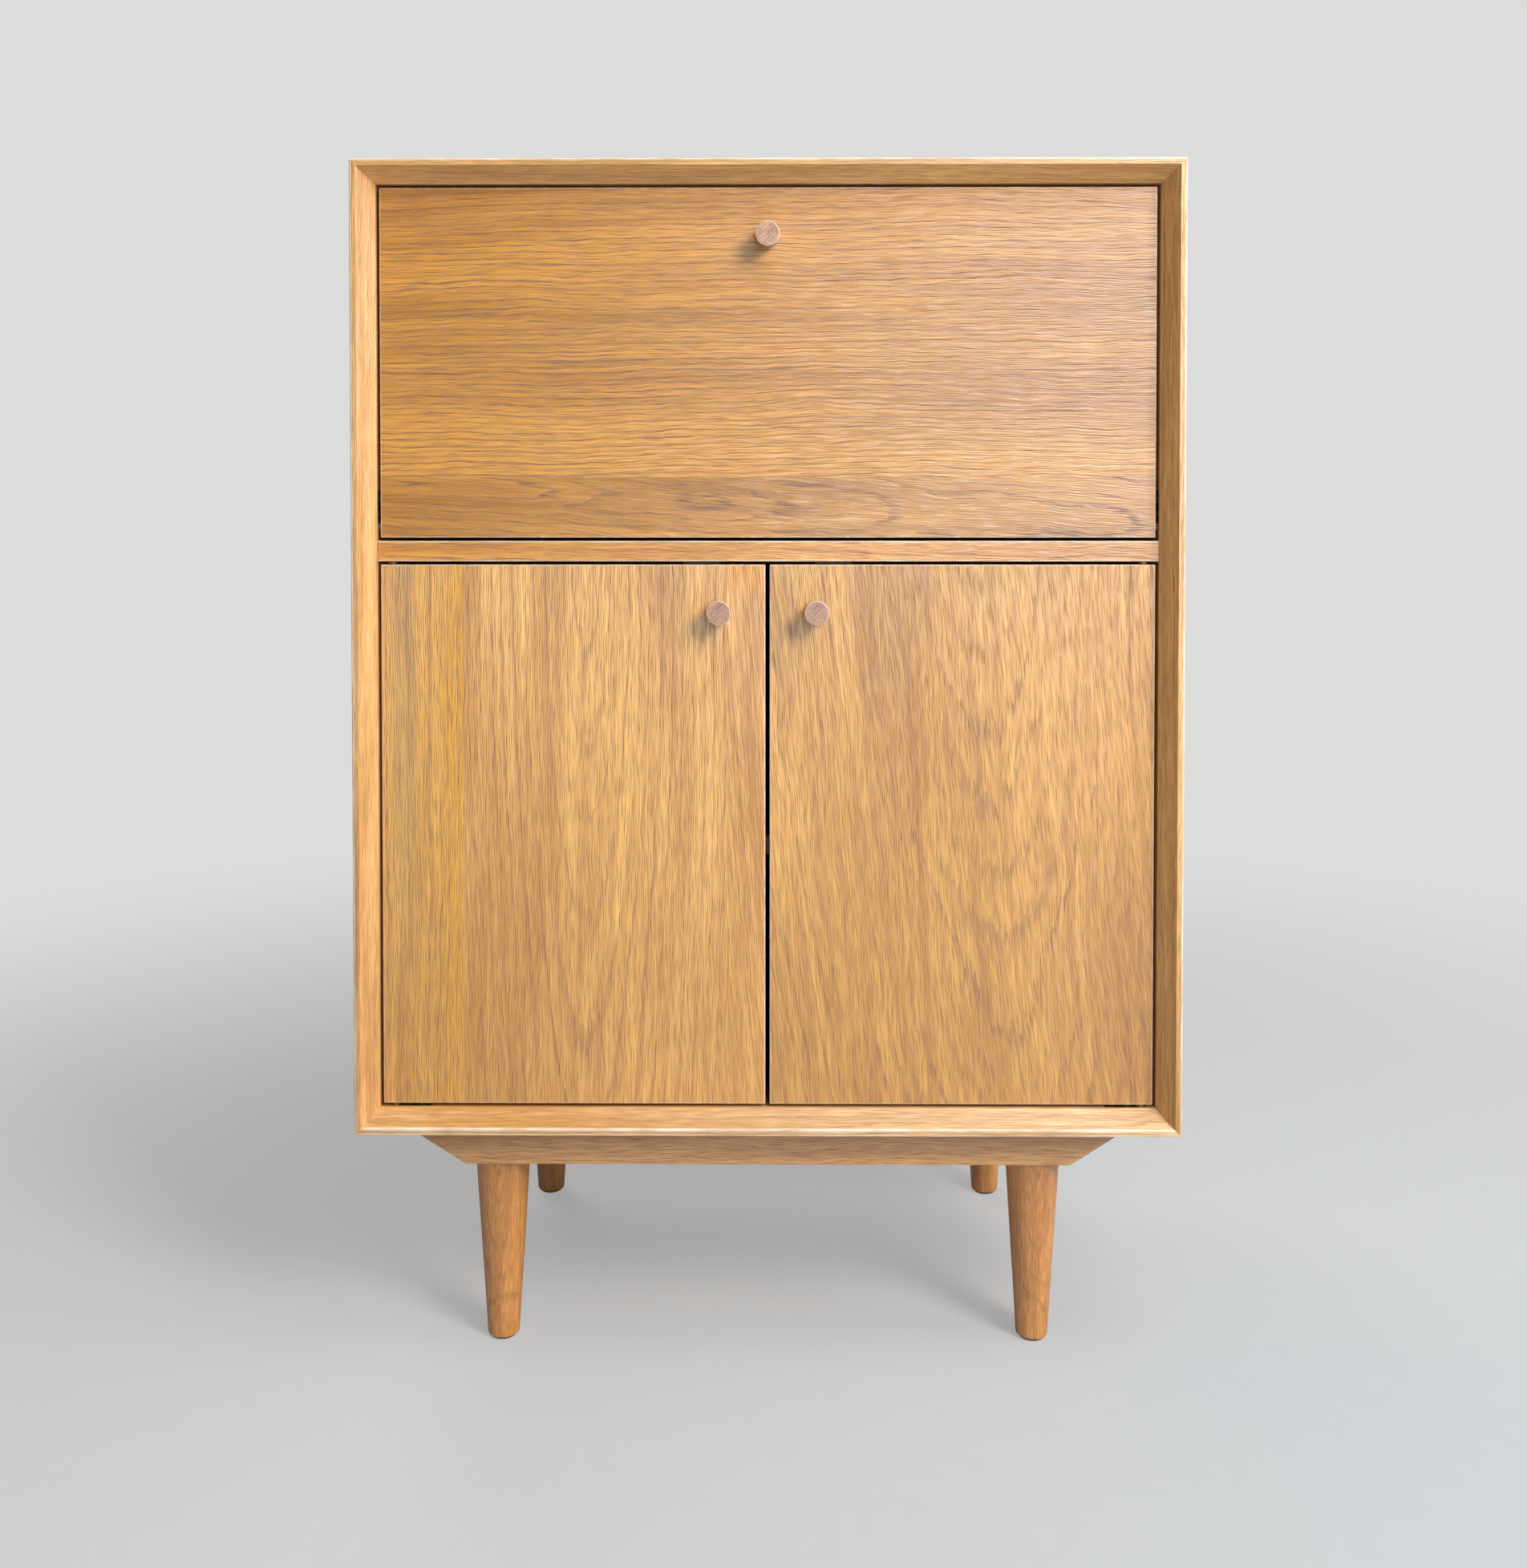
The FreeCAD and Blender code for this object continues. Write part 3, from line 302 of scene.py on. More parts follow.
# The span of a stain that takes in the whole of any piece
EVERYWHERE: Span = (-1.0, -0.9, 2.0, 2.1)


def onward(start: float, full: float) -> Span:
    """A span that begins softly and has no end on the piece."""
    return (start, full, *EVERYWHERE[2:])


def until(fade: float, end: float) -> Span:
    """A span that has no beginning on the piece and ends softly."""
    return (*EVERYWHERE[:2], fade, end)


@dataclass(frozen=True)
class Stain:
    """A patch of another colour.

    Attributes:
        along: where it starts, is full, begins to fade and ends along the grain.
        across: the same across the grain.
        colour: its colour.
        share: how much of that colour it takes.
    """

    along: Span
    across: Span
    colour: Colour
    share: float


class Streaks(Enum):
    """The noises of the wood: blotches in a metre along the grain, blotches across it, and finer layers."""

    SLOW_BEND = (1.7, 4.5, 1.0)
    MIDDLING_BEND = (9.0, 17.0, 1.0)
    QUICK_BEND = (52.0, 95.0, 1.5)
    FRAY = (16.0, 300.0, 1.0)
    BREAK = (55.0, 480.0, 1.0)
    FINE_PORE = (60.0, 1500.0, 0.0)
    TONE = (1.1, 15.0, 2.5)
    STREAK = (5.0, 120.0, 2.0)
    WARMTH = (0.9, 7.0, 1.0)


class Tint(Enum):
    """Colours that the wood's own is multiplied by, and the pale colours of its worn edges and painted
    highlights.
    """

    GOLDEN = (1.02, 0.96, 0.52)
    PINKISH = (1.0, 0.97, 1.45)
    FIBRE = (1.18, 1.24, 1.42)
    WORN_EDGE = (0.84, 0.62, 0.43)
    RUBBED_ARRIS = (0.93, 0.76, 0.56)
    RUBBED_RIM = (0.74, 0.52, 0.38)


class WearAndHighlight(Enum):
    """How far worn wood and painted highlights reach: where they begin to fade and where they end, in metres
    from their middle.
    """

    EDGE = (0.0002, 0.0017)
    CHIP = (0.0006, 0.0022)
    FACE = (0.0006, 0.0030)
    ARRIS = (0.0006, 0.0024)
    RIM = (0.0002, 0.0013)

    def near(self, distance: Term) -> Term:
        """One within the reach and zero beyond it."""
        return 1.0 - distance.ease(*self.value)


class BoardTree(ShaderTree):
    """The tree of a wooden material, with the places along, across and through its board.

    The place called run is the place along the grain, moved on for each leaf.
    """

    # How much further along the log each leaf is taken than the one before it, in metres
    LEAF_SHIFT = 0.37

    def __init__(self, name: str, grain: Grain, leaves: Sequence[Leaf]) -> None:
        """Starts the material and finds the places.

        Args:
            name: the material's name.
            grain: how the board lies.
            leaves: its boards or leaves, in order across the grain.
        """
        super().__init__(name)
        spot = self.place()
        self.along, self.across, self.depth = (spot[axis] for axis in grain.value)
        self.leaves = leaves
        self.shift = self.by_leaf([self.LEAF_SHIFT * index for index in range(len(leaves))])
        self.run = self.along + self.shift

    def by_leaf(self, values: Sequence[float]) -> Operand:
        """A value that steps from leaf to leaf.

        Args:
            values: the value on each leaf.

        Returns:
            The stepped value.
        """
        total: Operand = values[0]
        for leaf, before, after in zip(self.leaves[1:], values, values[1:]):
            if before != after:
                total = self.across.above(leaf.start) * (after - before) + total
        return total

    def trait(self, name: str) -> Operand:
        """One attribute of the leaves, as it steps from leaf to leaf."""
        return self.by_leaf([getattr(leaf, name) for leaf in self.leaves])

    def streaks(self, kind: Streaks, across: Term) -> Term:
        """One of the noises of the wood, drawn out along the grain, by a place across it or its fibres."""
        length, width, detail = kind.value
        return self.noise(self.run * length, across * width, self.depth * width, detail)


@dataclass(frozen=True)
class OakFinish:
    """Satin lacquered oak with growth lines, pores and a lively colour.

    Attributes:
        name: the material's name.
        grain: how the board lies.
        leaves: its boards or leaves, in order across the grain.
        face: where the show face lies through the thickness.
        ring: the width of a year's growth.
        wander: how far the lines swing over the length of a board.
        sway: how far they swing over a hand's breadth.
        ripple: how far they swing over a thumb's breadth.
        ticks: how many pores follow each other in a metre, along and across the fibres.
        fray: how far the growth lines fray along the fibres.
        soft: how far into a year's growth its dark line fades.
        steady: how strongly even the faintest growth line shows.
        relief: how deep the open pores are.
        light: the colour of the palest wood.
        deep: the colour of the darkest streaks between the lines.
        line: the colour of the growth lines.
        pore: the colour of the pores.
        line_share: how strongly the growth lines show.
        pore_share: how strongly the pores show.
        gloss: the roughness of the lacquer.
        shine: how strongly the lacquer reflects.
        density: the lacquer's refractive index.
        stains: patches of another colour, the later ones over the earlier.
        edges: low and high along, low and high across, where the arrises are worn pale and painted with a
            highlight.
        chips: how strongly chips show on the lowest edge.
        arrises: places across and through the board where a long arris gets a pale painted highlight.
        rims: turned rims with a pale painted highlight, by their place along, across and through the wood and
            their radius.
    """

    name: str
    grain: Grain
    leaves: tuple[Leaf, ...]
    face: float = 0.0
    ring: float = 0.0054
    wander: float = 0.012
    sway: float = 0.0060
    ripple: float = 0.0016
    ticks: tuple[float, float] = (38.0, 900.0)
    fray: float = 0.8
    soft: float = 0.34
    steady: float = 0.15
    relief: float = 0.00038
    light: Colour = (0.84, 0.404, 0.087)
    deep: Colour = (0.475, 0.182, 0.026)
    line: Colour = (0.350, 0.126, 0.022)
    pore: Colour = (0.270, 0.092, 0.017)
    line_share: float = 0.62
    pore_share: float = 0.60
    gloss: float = 0.34
    shine: float = 0.85
    density: float = 1.5
    stains: tuple[Stain, ...] = ()
    edges: tuple[float, ...] = ()
    chips: float = 0.0
    arrises: tuple[tuple[float, float], ...] = ()
    rims: tuple[tuple[float, float, float, float], ...] = ()

    def material(self) -> bpy.types.Material:
        """Builds the material.

        Returns:
            The finished material.
        """
        board = BoardTree(self.name, self.grain, self.leaves)
        early, fibre = self.growth(board)

        # Lens-shaped pores, darkest in the early wood, with pale ridges of fibre between them
        pore_run, pore_row = self.ticks
        cell = board.cells(board.run * pore_run, fibre * pore_row, board.depth * pore_row)
        finer = board.streaks(Streaks.FINE_PORE, fibre).ease(0.54, 0.72)
        pores = (1.0 - cell.ease(0.14, 0.42)) * (0.70 + early * 0.30) + finer * 0.35
        pores = pores * board.trait("pores")
        pale = cell.ease(0.42, 0.80)

        colour = self.wood(board, fibre)
        colour = board.blend(colour, Tint.FIBRE.value, pale, "MULTIPLY")
        colour = board.blend(colour, self.line, early * self.line_share)
        colour = board.blend(colour, self.pore, pores * self.pore_share)
        # Worn edges, and painted highlights along the arrises and rims
        colour = self.rubbed(board, colour)
        # Each leaf's brightness, which on the left door is painted sheen rising towards its right
        shade = board.trait("shade")
        if isinstance(shade, Term):
            grey = board.add("ShaderNodeCombineColor", {}, {0: shade, 1: shade, 2: shade})
            colour = board.blend(colour, grey, 1.0, "MULTIPLY")

        height = pale * 0.40 - pores * 0.80 - early * 0.40
        return board.surface(
            {
                "Base Color": colour,
                "Roughness": self.gloss + pores * 0.20 + early * 0.20 - pale * 0.04,
                "Specular IOR Level": self.shine,
                "IOR": self.density,
                "Normal": board.relief(height, self.relief, 0.60),
            }
        )

    def flow(self, board: BoardTree) -> tuple[Term, Term]:
        """How the grain flows at a point, bent by slow, middling and quick noise.

        Args:
            board: the board's tree.

        Returns:
            The distance from the heart of the log, and the place across the fibres.
        """
        along, across = board.along, board.across
        slow = board.streaks(Streaks.SLOW_BEND, across) - 0.5
        middling = board.streaks(Streaks.MIDDLING_BEND, across) - 0.5
        quick = board.streaks(Streaks.QUICK_BEND, across) - 0.5
        swell = board.noise(board.run * 8.0, across * 3.0, 0.3, 1.0) - 0.5
        bend = slow * self.wander + middling * self.sway + quick * self.ripple
        sideways = across + bend - board.trait("heart") - along * board.trait("drift")
        inward = abs(board.depth - self.face) + board.trait("behind") - along * board.trait("lean")
        return sideways.hypot(inward + swell * board.trait("figure")), sideways

    def growth(self, board: BoardTree) -> tuple[Term, Term]:
        """Growth lines, each with its own strength, sharp on one side and soft on the other.

        Args:
            board: the board's tree.

        Returns:
            How dark the lines are, and the place across the fibres.
        """
        radius, fibre = self.flow(board)
        years = radius / board.by_leaf([leaf.growth * self.ring for leaf in self.leaves])
        years = years + (board.streaks(Streaks.FRAY, fibre) - 0.5) * self.fray
        ring = (years + board.noise(years * 0.52, board.shift, 0.5, 1.0) * 1.6).fraction()
        strength = board.noise(board.run * 3.0, years * 0.8, board.shift, 1.0).ease(0.38, 0.64)
        strength = strength * (1.0 - self.steady) + self.steady
        broken = board.streaks(Streaks.BREAK, fibre).ease(0.34, 0.62)
        early = ring.ease(0.0, 0.06) * (1.0 - ring.ease(0.08, self.soft)) * strength
        early = early * (1.0 - (1.0 - broken) * board.trait("ragged"))
        return early * board.trait("lines"), fibre

    def wood(self, board: BoardTree, fibre: Term) -> Term:
        """The colour between the lines and the pores: streaks, golden and pinkish parts, and stains.

        Args:
            board: the board's tree.
            fibre: the place across the fibres.

        Returns:
            The colour.
        """
        tone = board.streaks(Streaks.TONE, fibre).ease(0.36, 0.64)
        streak = board.streaks(Streaks.STREAK, fibre).ease(0.30, 0.70)
        colour = board.blend(self.light, self.deep, tone * 0.55 + streak * 0.45)
        warm = (board.streaks(Streaks.WARMTH, board.across) - 0.5) * 1.9 + board.trait("gold")
        colour = board.blend(colour, Tint.GOLDEN.value, warm.ease(0.0, 1.0), "MULTIPLY")
        colour = board.blend(colour, Tint.PINKISH.value, (0.0 - warm).ease(0.0, 1.0), "MULTIPLY")
        for stain in self.stains:
            colour = board.blend(colour, stain.colour, self.patch(board, stain) * (0.55 + streak * 0.45))
        return colour

    def patch(self, board: BoardTree, stain: Stain) -> Term:
        """How much of a stain shows at a point.

        Args:
            board: the board's tree.
            stain: the stain.

        Returns:
            Its share.
        """
        inside: Operand = stain.share
        for place, (start, full, fade, end) in ((board.along, stain.along), (board.across, stain.across)):
            inside = place.ease(start, full) * (1.0 - place.ease(fade, end)) * inside
        return inside

    def rubbed(self, board: BoardTree, colour: Term) -> Term:
        """Makes the edges, the arrises and the rims of the wood pale: worn edges, and painted highlights
        along the arrises and rims.

        Args:
            board: the board's tree.
            colour: the colour of the wood.

        Returns:
            The colour with its worn edges and painted highlights.
        """
        if self.edges:
            colour = board.blend(colour, Tint.WORN_EDGE.value, self.worn_edges(board))
        for corner in self.arrises:
            colour = board.blend(colour, Tint.RUBBED_ARRIS.value, self.rubbed_arris(board, corner))
        for rim in self.rims:
            colour = board.blend(colour, Tint.RUBBED_RIM.value, self.rubbed_rim(board, rim))
        return colour

    def worn_edges(self, board: BoardTree) -> Term:
        """Paler wood along the edges of a front, partly worn and partly a painted highlight of the rounded
        arris, with a few chips on its lowest edge.

        Args:
            board: the board's tree.

        Returns:
            How much of the pale wood shows.
        """
        along, across = board.along, board.across
        low_along, high_along, low_across, high_across = self.edges
        near = (along - low_along).least(high_along - along)
        near = near.least(across - low_across).least(high_across - across)
        rubbed = board.noise(along * 130.0, across * 130.0, 0.0, 2.0).ease(0.34, 0.66)
        shown = WearAndHighlight.FACE.near(abs(board.depth - self.face))
        edge_wear_and_highlight = WearAndHighlight.EDGE.near(near) * (0.35 + rubbed * 0.4) * shown
        if not self.chips:
            return edge_wear_and_highlight
        spots = board.noise(along * 70.0, 0.7, 0.0, 2.5).ease(0.58, 0.68)
        return edge_wear_and_highlight + WearAndHighlight.CHIP.near(across - low_across) * spots * shown * self.chips

    def rubbed_arris(self, board: BoardTree, corner: tuple[float, float]) -> Term:
        """A painted highlight along one arris that runs with the grain, broken up like worn wood.

        Args:
            board: the board's tree.
            corner: the arris's place across and through the board.

        Returns:
            How much of the painted highlight shows.
        """
        near = (board.across - corner[0]).hypot(board.depth - corner[1])
        rubbed = board.noise(board.along * 28.0, corner[1], 0.4, 3.0).ease(0.30, 0.70)
        return WearAndHighlight.ARRIS.near(near) * (0.35 + rubbed * 0.55)

    def rubbed_rim(self, board: BoardTree, rim: tuple[float, float, float, float]) -> Term:
        """A painted highlight round the rim of a turned piece.

        Args:
            board: the tree of the piece.
            rim: where the rim lies along the wood, its middle across and through it, and its radius.

        Returns:
            How much of the pale wood shows.
        """
        level, aside, below, radius = rim
        near = abs((board.across - aside).hypot(board.depth - below) - radius) + abs(board.along - level)
        return WearAndHighlight.RIM.near(near) * 0.60


@dataclass(frozen=True)
class MetalFinish:
    """Plain drawn or pressed metal with fine scratches and a little tarnish."""

    name: str
    colour: Colour
    tarnish: Colour
    gloss: float = 0.30
    tarnish_share: float = 0.5

    def material(self) -> bpy.types.Material:
        """Builds the material."""
        tree = ShaderTree(self.name)
        x, y, z = tree.place()
        blotch = tree.noise(x * 90.0, y * 90.0, z * 90.0, 3.0).ease(0.40, 0.72)
        scratch = tree.noise(x * 260.0, y * 260.0, z * 2600.0, 1.0)
        return tree.surface(
            {
                "Base Color": tree.blend(self.colour, self.tarnish, blotch * self.tarnish_share),
                "Metallic": 1.0,
                "Roughness": self.gloss + blotch * 0.18 + (scratch - 0.5) * 0.12,
                "Normal": tree.relief(scratch, 0.00004, 0.30),
            }
        )


@dataclass(frozen=True)
class PlasticFinish:
    """Moulded plastic with a fine spark-eroded grain."""

    name: str
    colour: Colour
    pale: Colour
    gloss: float = 0.52

    def material(self) -> bpy.types.Material:
        """Builds the material."""
        tree = ShaderTree(self.name)
        x, y, z = tree.place()
        grain = tree.noise(x * 1900.0, y * 1900.0, z * 1900.0, 2.0)
        rubbed = tree.noise(x * 60.0, y * 60.0, z * 60.0, 3.0).ease(0.50, 0.78)
        return tree.surface(
            {
                "Base Color": tree.blend(self.colour, self.pale, rubbed * 0.45),
                "Roughness": self.gloss + (grain - 0.5) * 0.15 + rubbed * 0.08,
                "Normal": tree.relief(grain, 0.00006, 0.35),
            }
        )


@dataclass
class Case:
    """The bevelled case: four mitred panels, the divider, the back and the adjustable shelf."""

    half_width: float = Side.RIGHT.of("top_panel")
    top: float = Side.TOP.of("top_panel")
    under: float = Side.UNDER.of("bottom_panel")
    front: float = Side.FRONT.of("top_panel")
    divider_front: float = Side.FRONT.of("divider_shelf")
    divider_top: float = Side.TOP.of("divider_shelf")
    divider_under: float = Side.UNDER.of("divider_shelf")
    shelf_top: float = Side.TOP.of("adjustable_shelf")
    back: float = Side.BACK.of("back_panel")
    lip: float = 0.006
    divider_ease: float = 0.001
    light: Colour = (0.81, 0.415, 0.132)
    deep: Colour = (0.46, 0.188, 0.040)

    def panel(self, name: str, grain: Grain, face: float, leaves: tuple[Leaf, ...]) -> OakFinish:
        """The finish of one mitred panel, with a painted highlight along its outer front arris.

        Args:
            name: the material's name.
            grain: how the panel lies.
            face: where its outer face lies.
            leaves: its boards.

        Returns:
            The finish.
        """
        return OakFinish(
            name,
            grain,
            leaves,
            face,
            ring=0.0040,
            light=self.light,
            deep=self.deep,
            pore_share=0.40,
            gloss=0.32,
            shine=1.0,
            arrises=((self.front, face),),
        )

    def bottom(self) -> OakFinish:
        """The finish of the bottom panel, paler, with painted highlights along both arrises of its lip and
        painted shade towards its left end.
        """
        return replace(
            self.panel("oak_bottom", Grain.LEVEL_SHELF, self.under, (Leaf(-0.5, -0.21, 0.04, 0.02),)),
            light=(0.86, 0.490, 0.200),
            deep=(0.52, 0.245, 0.075),
            arrises=((self.front, self.under), (self.front, self.under + self.lip)),
            # The stain is painted shade: the panel is painted darker towards its left end
            stains=(Stain(until(-0.30, 0.05), EVERYWHERE, (0.56, 0.225, 0.040), 0.75),),
        )

    def divider(self, boards: tuple[Leaf, ...]) -> OakFinish:
        """The finish of the divider, warmer than the case and with strong lines.

        Args:
            boards: its boards.

        Returns:
            The finish.
        """
        # The painted highlights along the divider's arrises are centred a little behind the eased front
        rubbed = self.divider_front + self.divider_ease
        return OakFinish(
            "oak_divider",
            Grain.LEVEL_SHELF,
            boards,
            self.divider_top,
            ring=0.0044,
            soft=0.45,
            steady=0.35,
            relief=0.00050,
            light=(0.89, 0.362, 0.056),
            deep=(0.54, 0.195, 0.024),
            line=(0.260, 0.088, 0.014),
            line_share=0.90,
            gloss=0.31,
            shine=1.0,
            density=1.6,
            arrises=((rubbed, self.divider_top), (rubbed, self.divider_under)),
        )

    def dress(self, nodes: Nodes) -> None:
        """Gives each panel its own boards of oak.

        Args:
            nodes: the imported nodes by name.
        """
        boards = (
            Leaf(-0.5, -0.30, 0.05, 0.03),
            Leaf(-0.08, 0.02, 0.028, 0.03, gold=0.1),
            Leaf(0.09, 0.42, 0.06),
        )
        upright = (
            Leaf(-0.5, -0.36, 0.05, 0.03, 0.01, gold=0.08),
            Leaf(-0.10, 0.00, 0.045, 0.025, 0.02),
            Leaf(0.10, 0.30, 0.06, 0.02, -0.02, gold=-0.05),
        )
        level, side = Grain.LEVEL_SHELF, Grain.UPRIGHT_SIDE
        halves = (Leaf(-0.5, -0.19, 0.05, 0.03), Leaf(0.0, 0.19, 0.045, 0.03, gold=-0.1))
        finishes = {
            "top_panel": self.panel("oak_top", level, self.top, boards),
            "bottom_panel": self.bottom(),
            "left_side_panel": self.panel("oak_left_side", side, -self.half_width, upright),
            "right_side_panel": self.panel("oak_right_side", side, self.half_width, upright),
            "divider_shelf": self.divider(boards),
            "adjustable_shelf": OakFinish("oak_shelf", level, boards, self.shelf_top, ring=0.0050),
            "back_panel": OakFinish(
                "back_veneer", Grain.UPRIGHT_FRONT, halves, self.back, gloss=0.56, shine=0.35
            ),
        }
        for name, finish in finishes.items():
            paint(nodes[name], finish.material())


@dataclass
class Fronts:
    """The fold-out flap and the two doors."""

    face: float = Side.FRONT.of("flap_panel")
    half: float = Side.RIGHT.of("flap_panel")
    meeting: float = Side.LEFT.of("right_door_panel")
    flap_low: float = Side.UNDER.of("flap_panel")
    flap_high: float = Side.TOP.of("flap_panel")
    door_low: float = Side.UNDER.of("right_door_panel")
    door_high: float = Side.TOP.of("right_door_panel")
    knob_rim: float = 0.0112
    knob_heart: tuple[float, float] = (0.12, -0.13)
    knob_light: Colour = (0.63, 0.335, 0.198)
    knob_deep: Colour = (0.36, 0.166, 0.092)
    knob_shades: Mapping[str, float] = field(
        default_factory=lambda: {"flap_knob": 1.04, "left_door_knob": 0.80, "right_door_knob": 0.84}
    )

    def dress(self, nodes: Nodes) -> None:
        """Lays the veneer of the flap and the doors, and the end grain of the knobs.

        Args:
            nodes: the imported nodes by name.
        """
        paint(nodes["flap_panel"], self.flap_veneer().material())
        paint(nodes["left_door_panel"], self.left_veneer().material())
        paint(nodes["right_door_panel"], self.right_veneer().material())
        for name, shade in self.knob_shades.items():
            paint(nodes[name], self.knob_wood(name, shade).material())

    def knob_wood(self, name: str, shade: float) -> OakFinish:
        """Pinkish end grain with slanting growth lines and a painted highlight round its rim.

        Args:
            name: the knob's name.
            shade: how bright it is.

        Returns:
            The finish.
        """
        low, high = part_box(name)
        middle = (low + high) / 2.0
        aside, above = self.knob_heart
        return OakFinish(
            f"{name}_wood",
            Grain.END_ON,
            (Leaf(-1.0, middle.x + aside, -(middle.z + above), figure=0.0),),
            ring=0.0036,
            wander=0.0,
            sway=0.010,
            ticks=(60.0, 900.0),
            fray=0.3,
            light=tuple(shade * part for part in self.knob_light),
            deep=tuple(shade * part for part in self.knob_deep),
            line=(0.170, 0.072, 0.043),
            pore=(0.140, 0.060, 0.036),
            line_share=0.75,
            gloss=0.46,
            shine=0.45,
            rims=((low.y, middle.x, middle.z, self.knob_rim),),
        )

    def flap_veneer(self) -> OakFinish:
        """Level grain in wavy lines, with a narrow leaf of open figure along the bottom."""
        figured = Leaf(
            0.0,
            0.806,
            0.022,
            -0.06,
            -0.06,
            figure=0.020,
            growth=1.4,
            pores=0.7,
            ragged=0.80,
            gold=0.10,
            shade=0.95,
        )
        return OakFinish(
            "oak_flap",
            Grain.LEVEL_FRONT,
            (figured, Leaf(0.829, 0.40, 0.10, -0.03, 0.015, gold=0.06)),
            self.face,
            wander=0.022,
            sway=0.0090,
            ripple=0.0024,
            ticks=(32.0, 840.0),
            fray=0.5,
            soft=0.40,
            steady=0.60,
            relief=0.00058,
            light=(0.67, 0.272, 0.038),
            deep=(0.39, 0.141, 0.013),
            line=(0.205, 0.068, 0.010),
            line_share=0.95,
            pore_share=0.68,
            gloss=0.31,
            shine=1.0,
            density=1.6,
            edges=(-self.half, self.half, self.flap_low, self.flap_high),
            chips=0.9,
            stains=(
                # The first stain is painted shade: the flap is painted darker towards its right
                Stain(onward(0.02, 0.40), EVERYWHERE, (0.36, 0.145, 0.024), 0.42),
                Stain(EVERYWHERE, (0.8288, 0.8292, 0.836, 0.930), (0.80, 0.340, 0.050), 0.60),
            ),
        )

    def left_veneer(self) -> OakFinish:
        """Upright grain with a yellow strip beside a seam and a tall open figure."""
        return OakFinish(
            "oak_left_door",
            Grain.UPRIGHT_FRONT,
            (
                # The leaves' shades, rising from left to right, are painted sheen: the door is painted
                # brighter towards its right
                Leaf(-0.5, -0.62, 0.10, 0.02, gold=0.24, shade=0.93),
                Leaf(-0.283, -0.168, 0.0800, 0.100, lines=1.15, gold=0.02, shade=1.04),
                Leaf(-0.038, 0.16, 0.05, 0.03, -0.08, shade=1.14),
            ),
            self.face,
            ring=0.0095,
            fray=0.35,
            soft=0.32,
            steady=0.55,
            pore_share=0.70,
            shine=1.0,
            density=1.6,
            edges=(self.door_low, self.door_high, -self.half, -self.meeting),
            stains=(
                # The first stain is painted shade: the door is painted darker towards the bottom
                Stain(until(0.28, 0.66), EVERYWHERE, (0.47, 0.184, 0.024), 0.55),
                Stain(onward(0.25, 0.50), (-0.353, -0.346, -0.334, -0.322), (0.50, 0.275, 0.085), 0.55),
                Stain(onward(0.00, 0.55), (-0.318, -0.288, -0.2835, -0.2825), (0.74, 0.300, 0.010), 1.0),
                Stain(onward(0.712, 0.736), (-0.0385, -0.0375, -0.012, 0.0), (0.62, 0.225, 0.008), 1.15),
            ),
        )

    def right_veneer(self) -> OakFinish:
        """Upright grain that flows down to a low open figure."""
        return OakFinish(
            "oak_right_door",
            Grain.UPRIGHT_FRONT,
            (Leaf(-0.5, 0.258, 0.170, 0.130, -0.09, figure=0.014, ragged=0.75, gold=-0.02),),
            self.face,
            ring=0.0088,
            soft=0.46,
            steady=0.40,
            wander=0.030,
            sway=0.0090,
            light=(0.77, 0.350, 0.058),
            deep=(0.43, 0.155, 0.016),
            line=(0.300, 0.106, 0.018),
            line_share=0.74,
            pore_share=0.70,
            gloss=0.37,
            shine=1.0,
            density=1.6,
            edges=(self.door_low, self.door_high, self.meeting, self.half),
            # The stain is painted shade: the door is painted darker towards the bottom
            stains=(Stain(until(0.28, 0.66), EVERYWHERE, (0.46, 0.192, 0.028), 0.55),),
        )


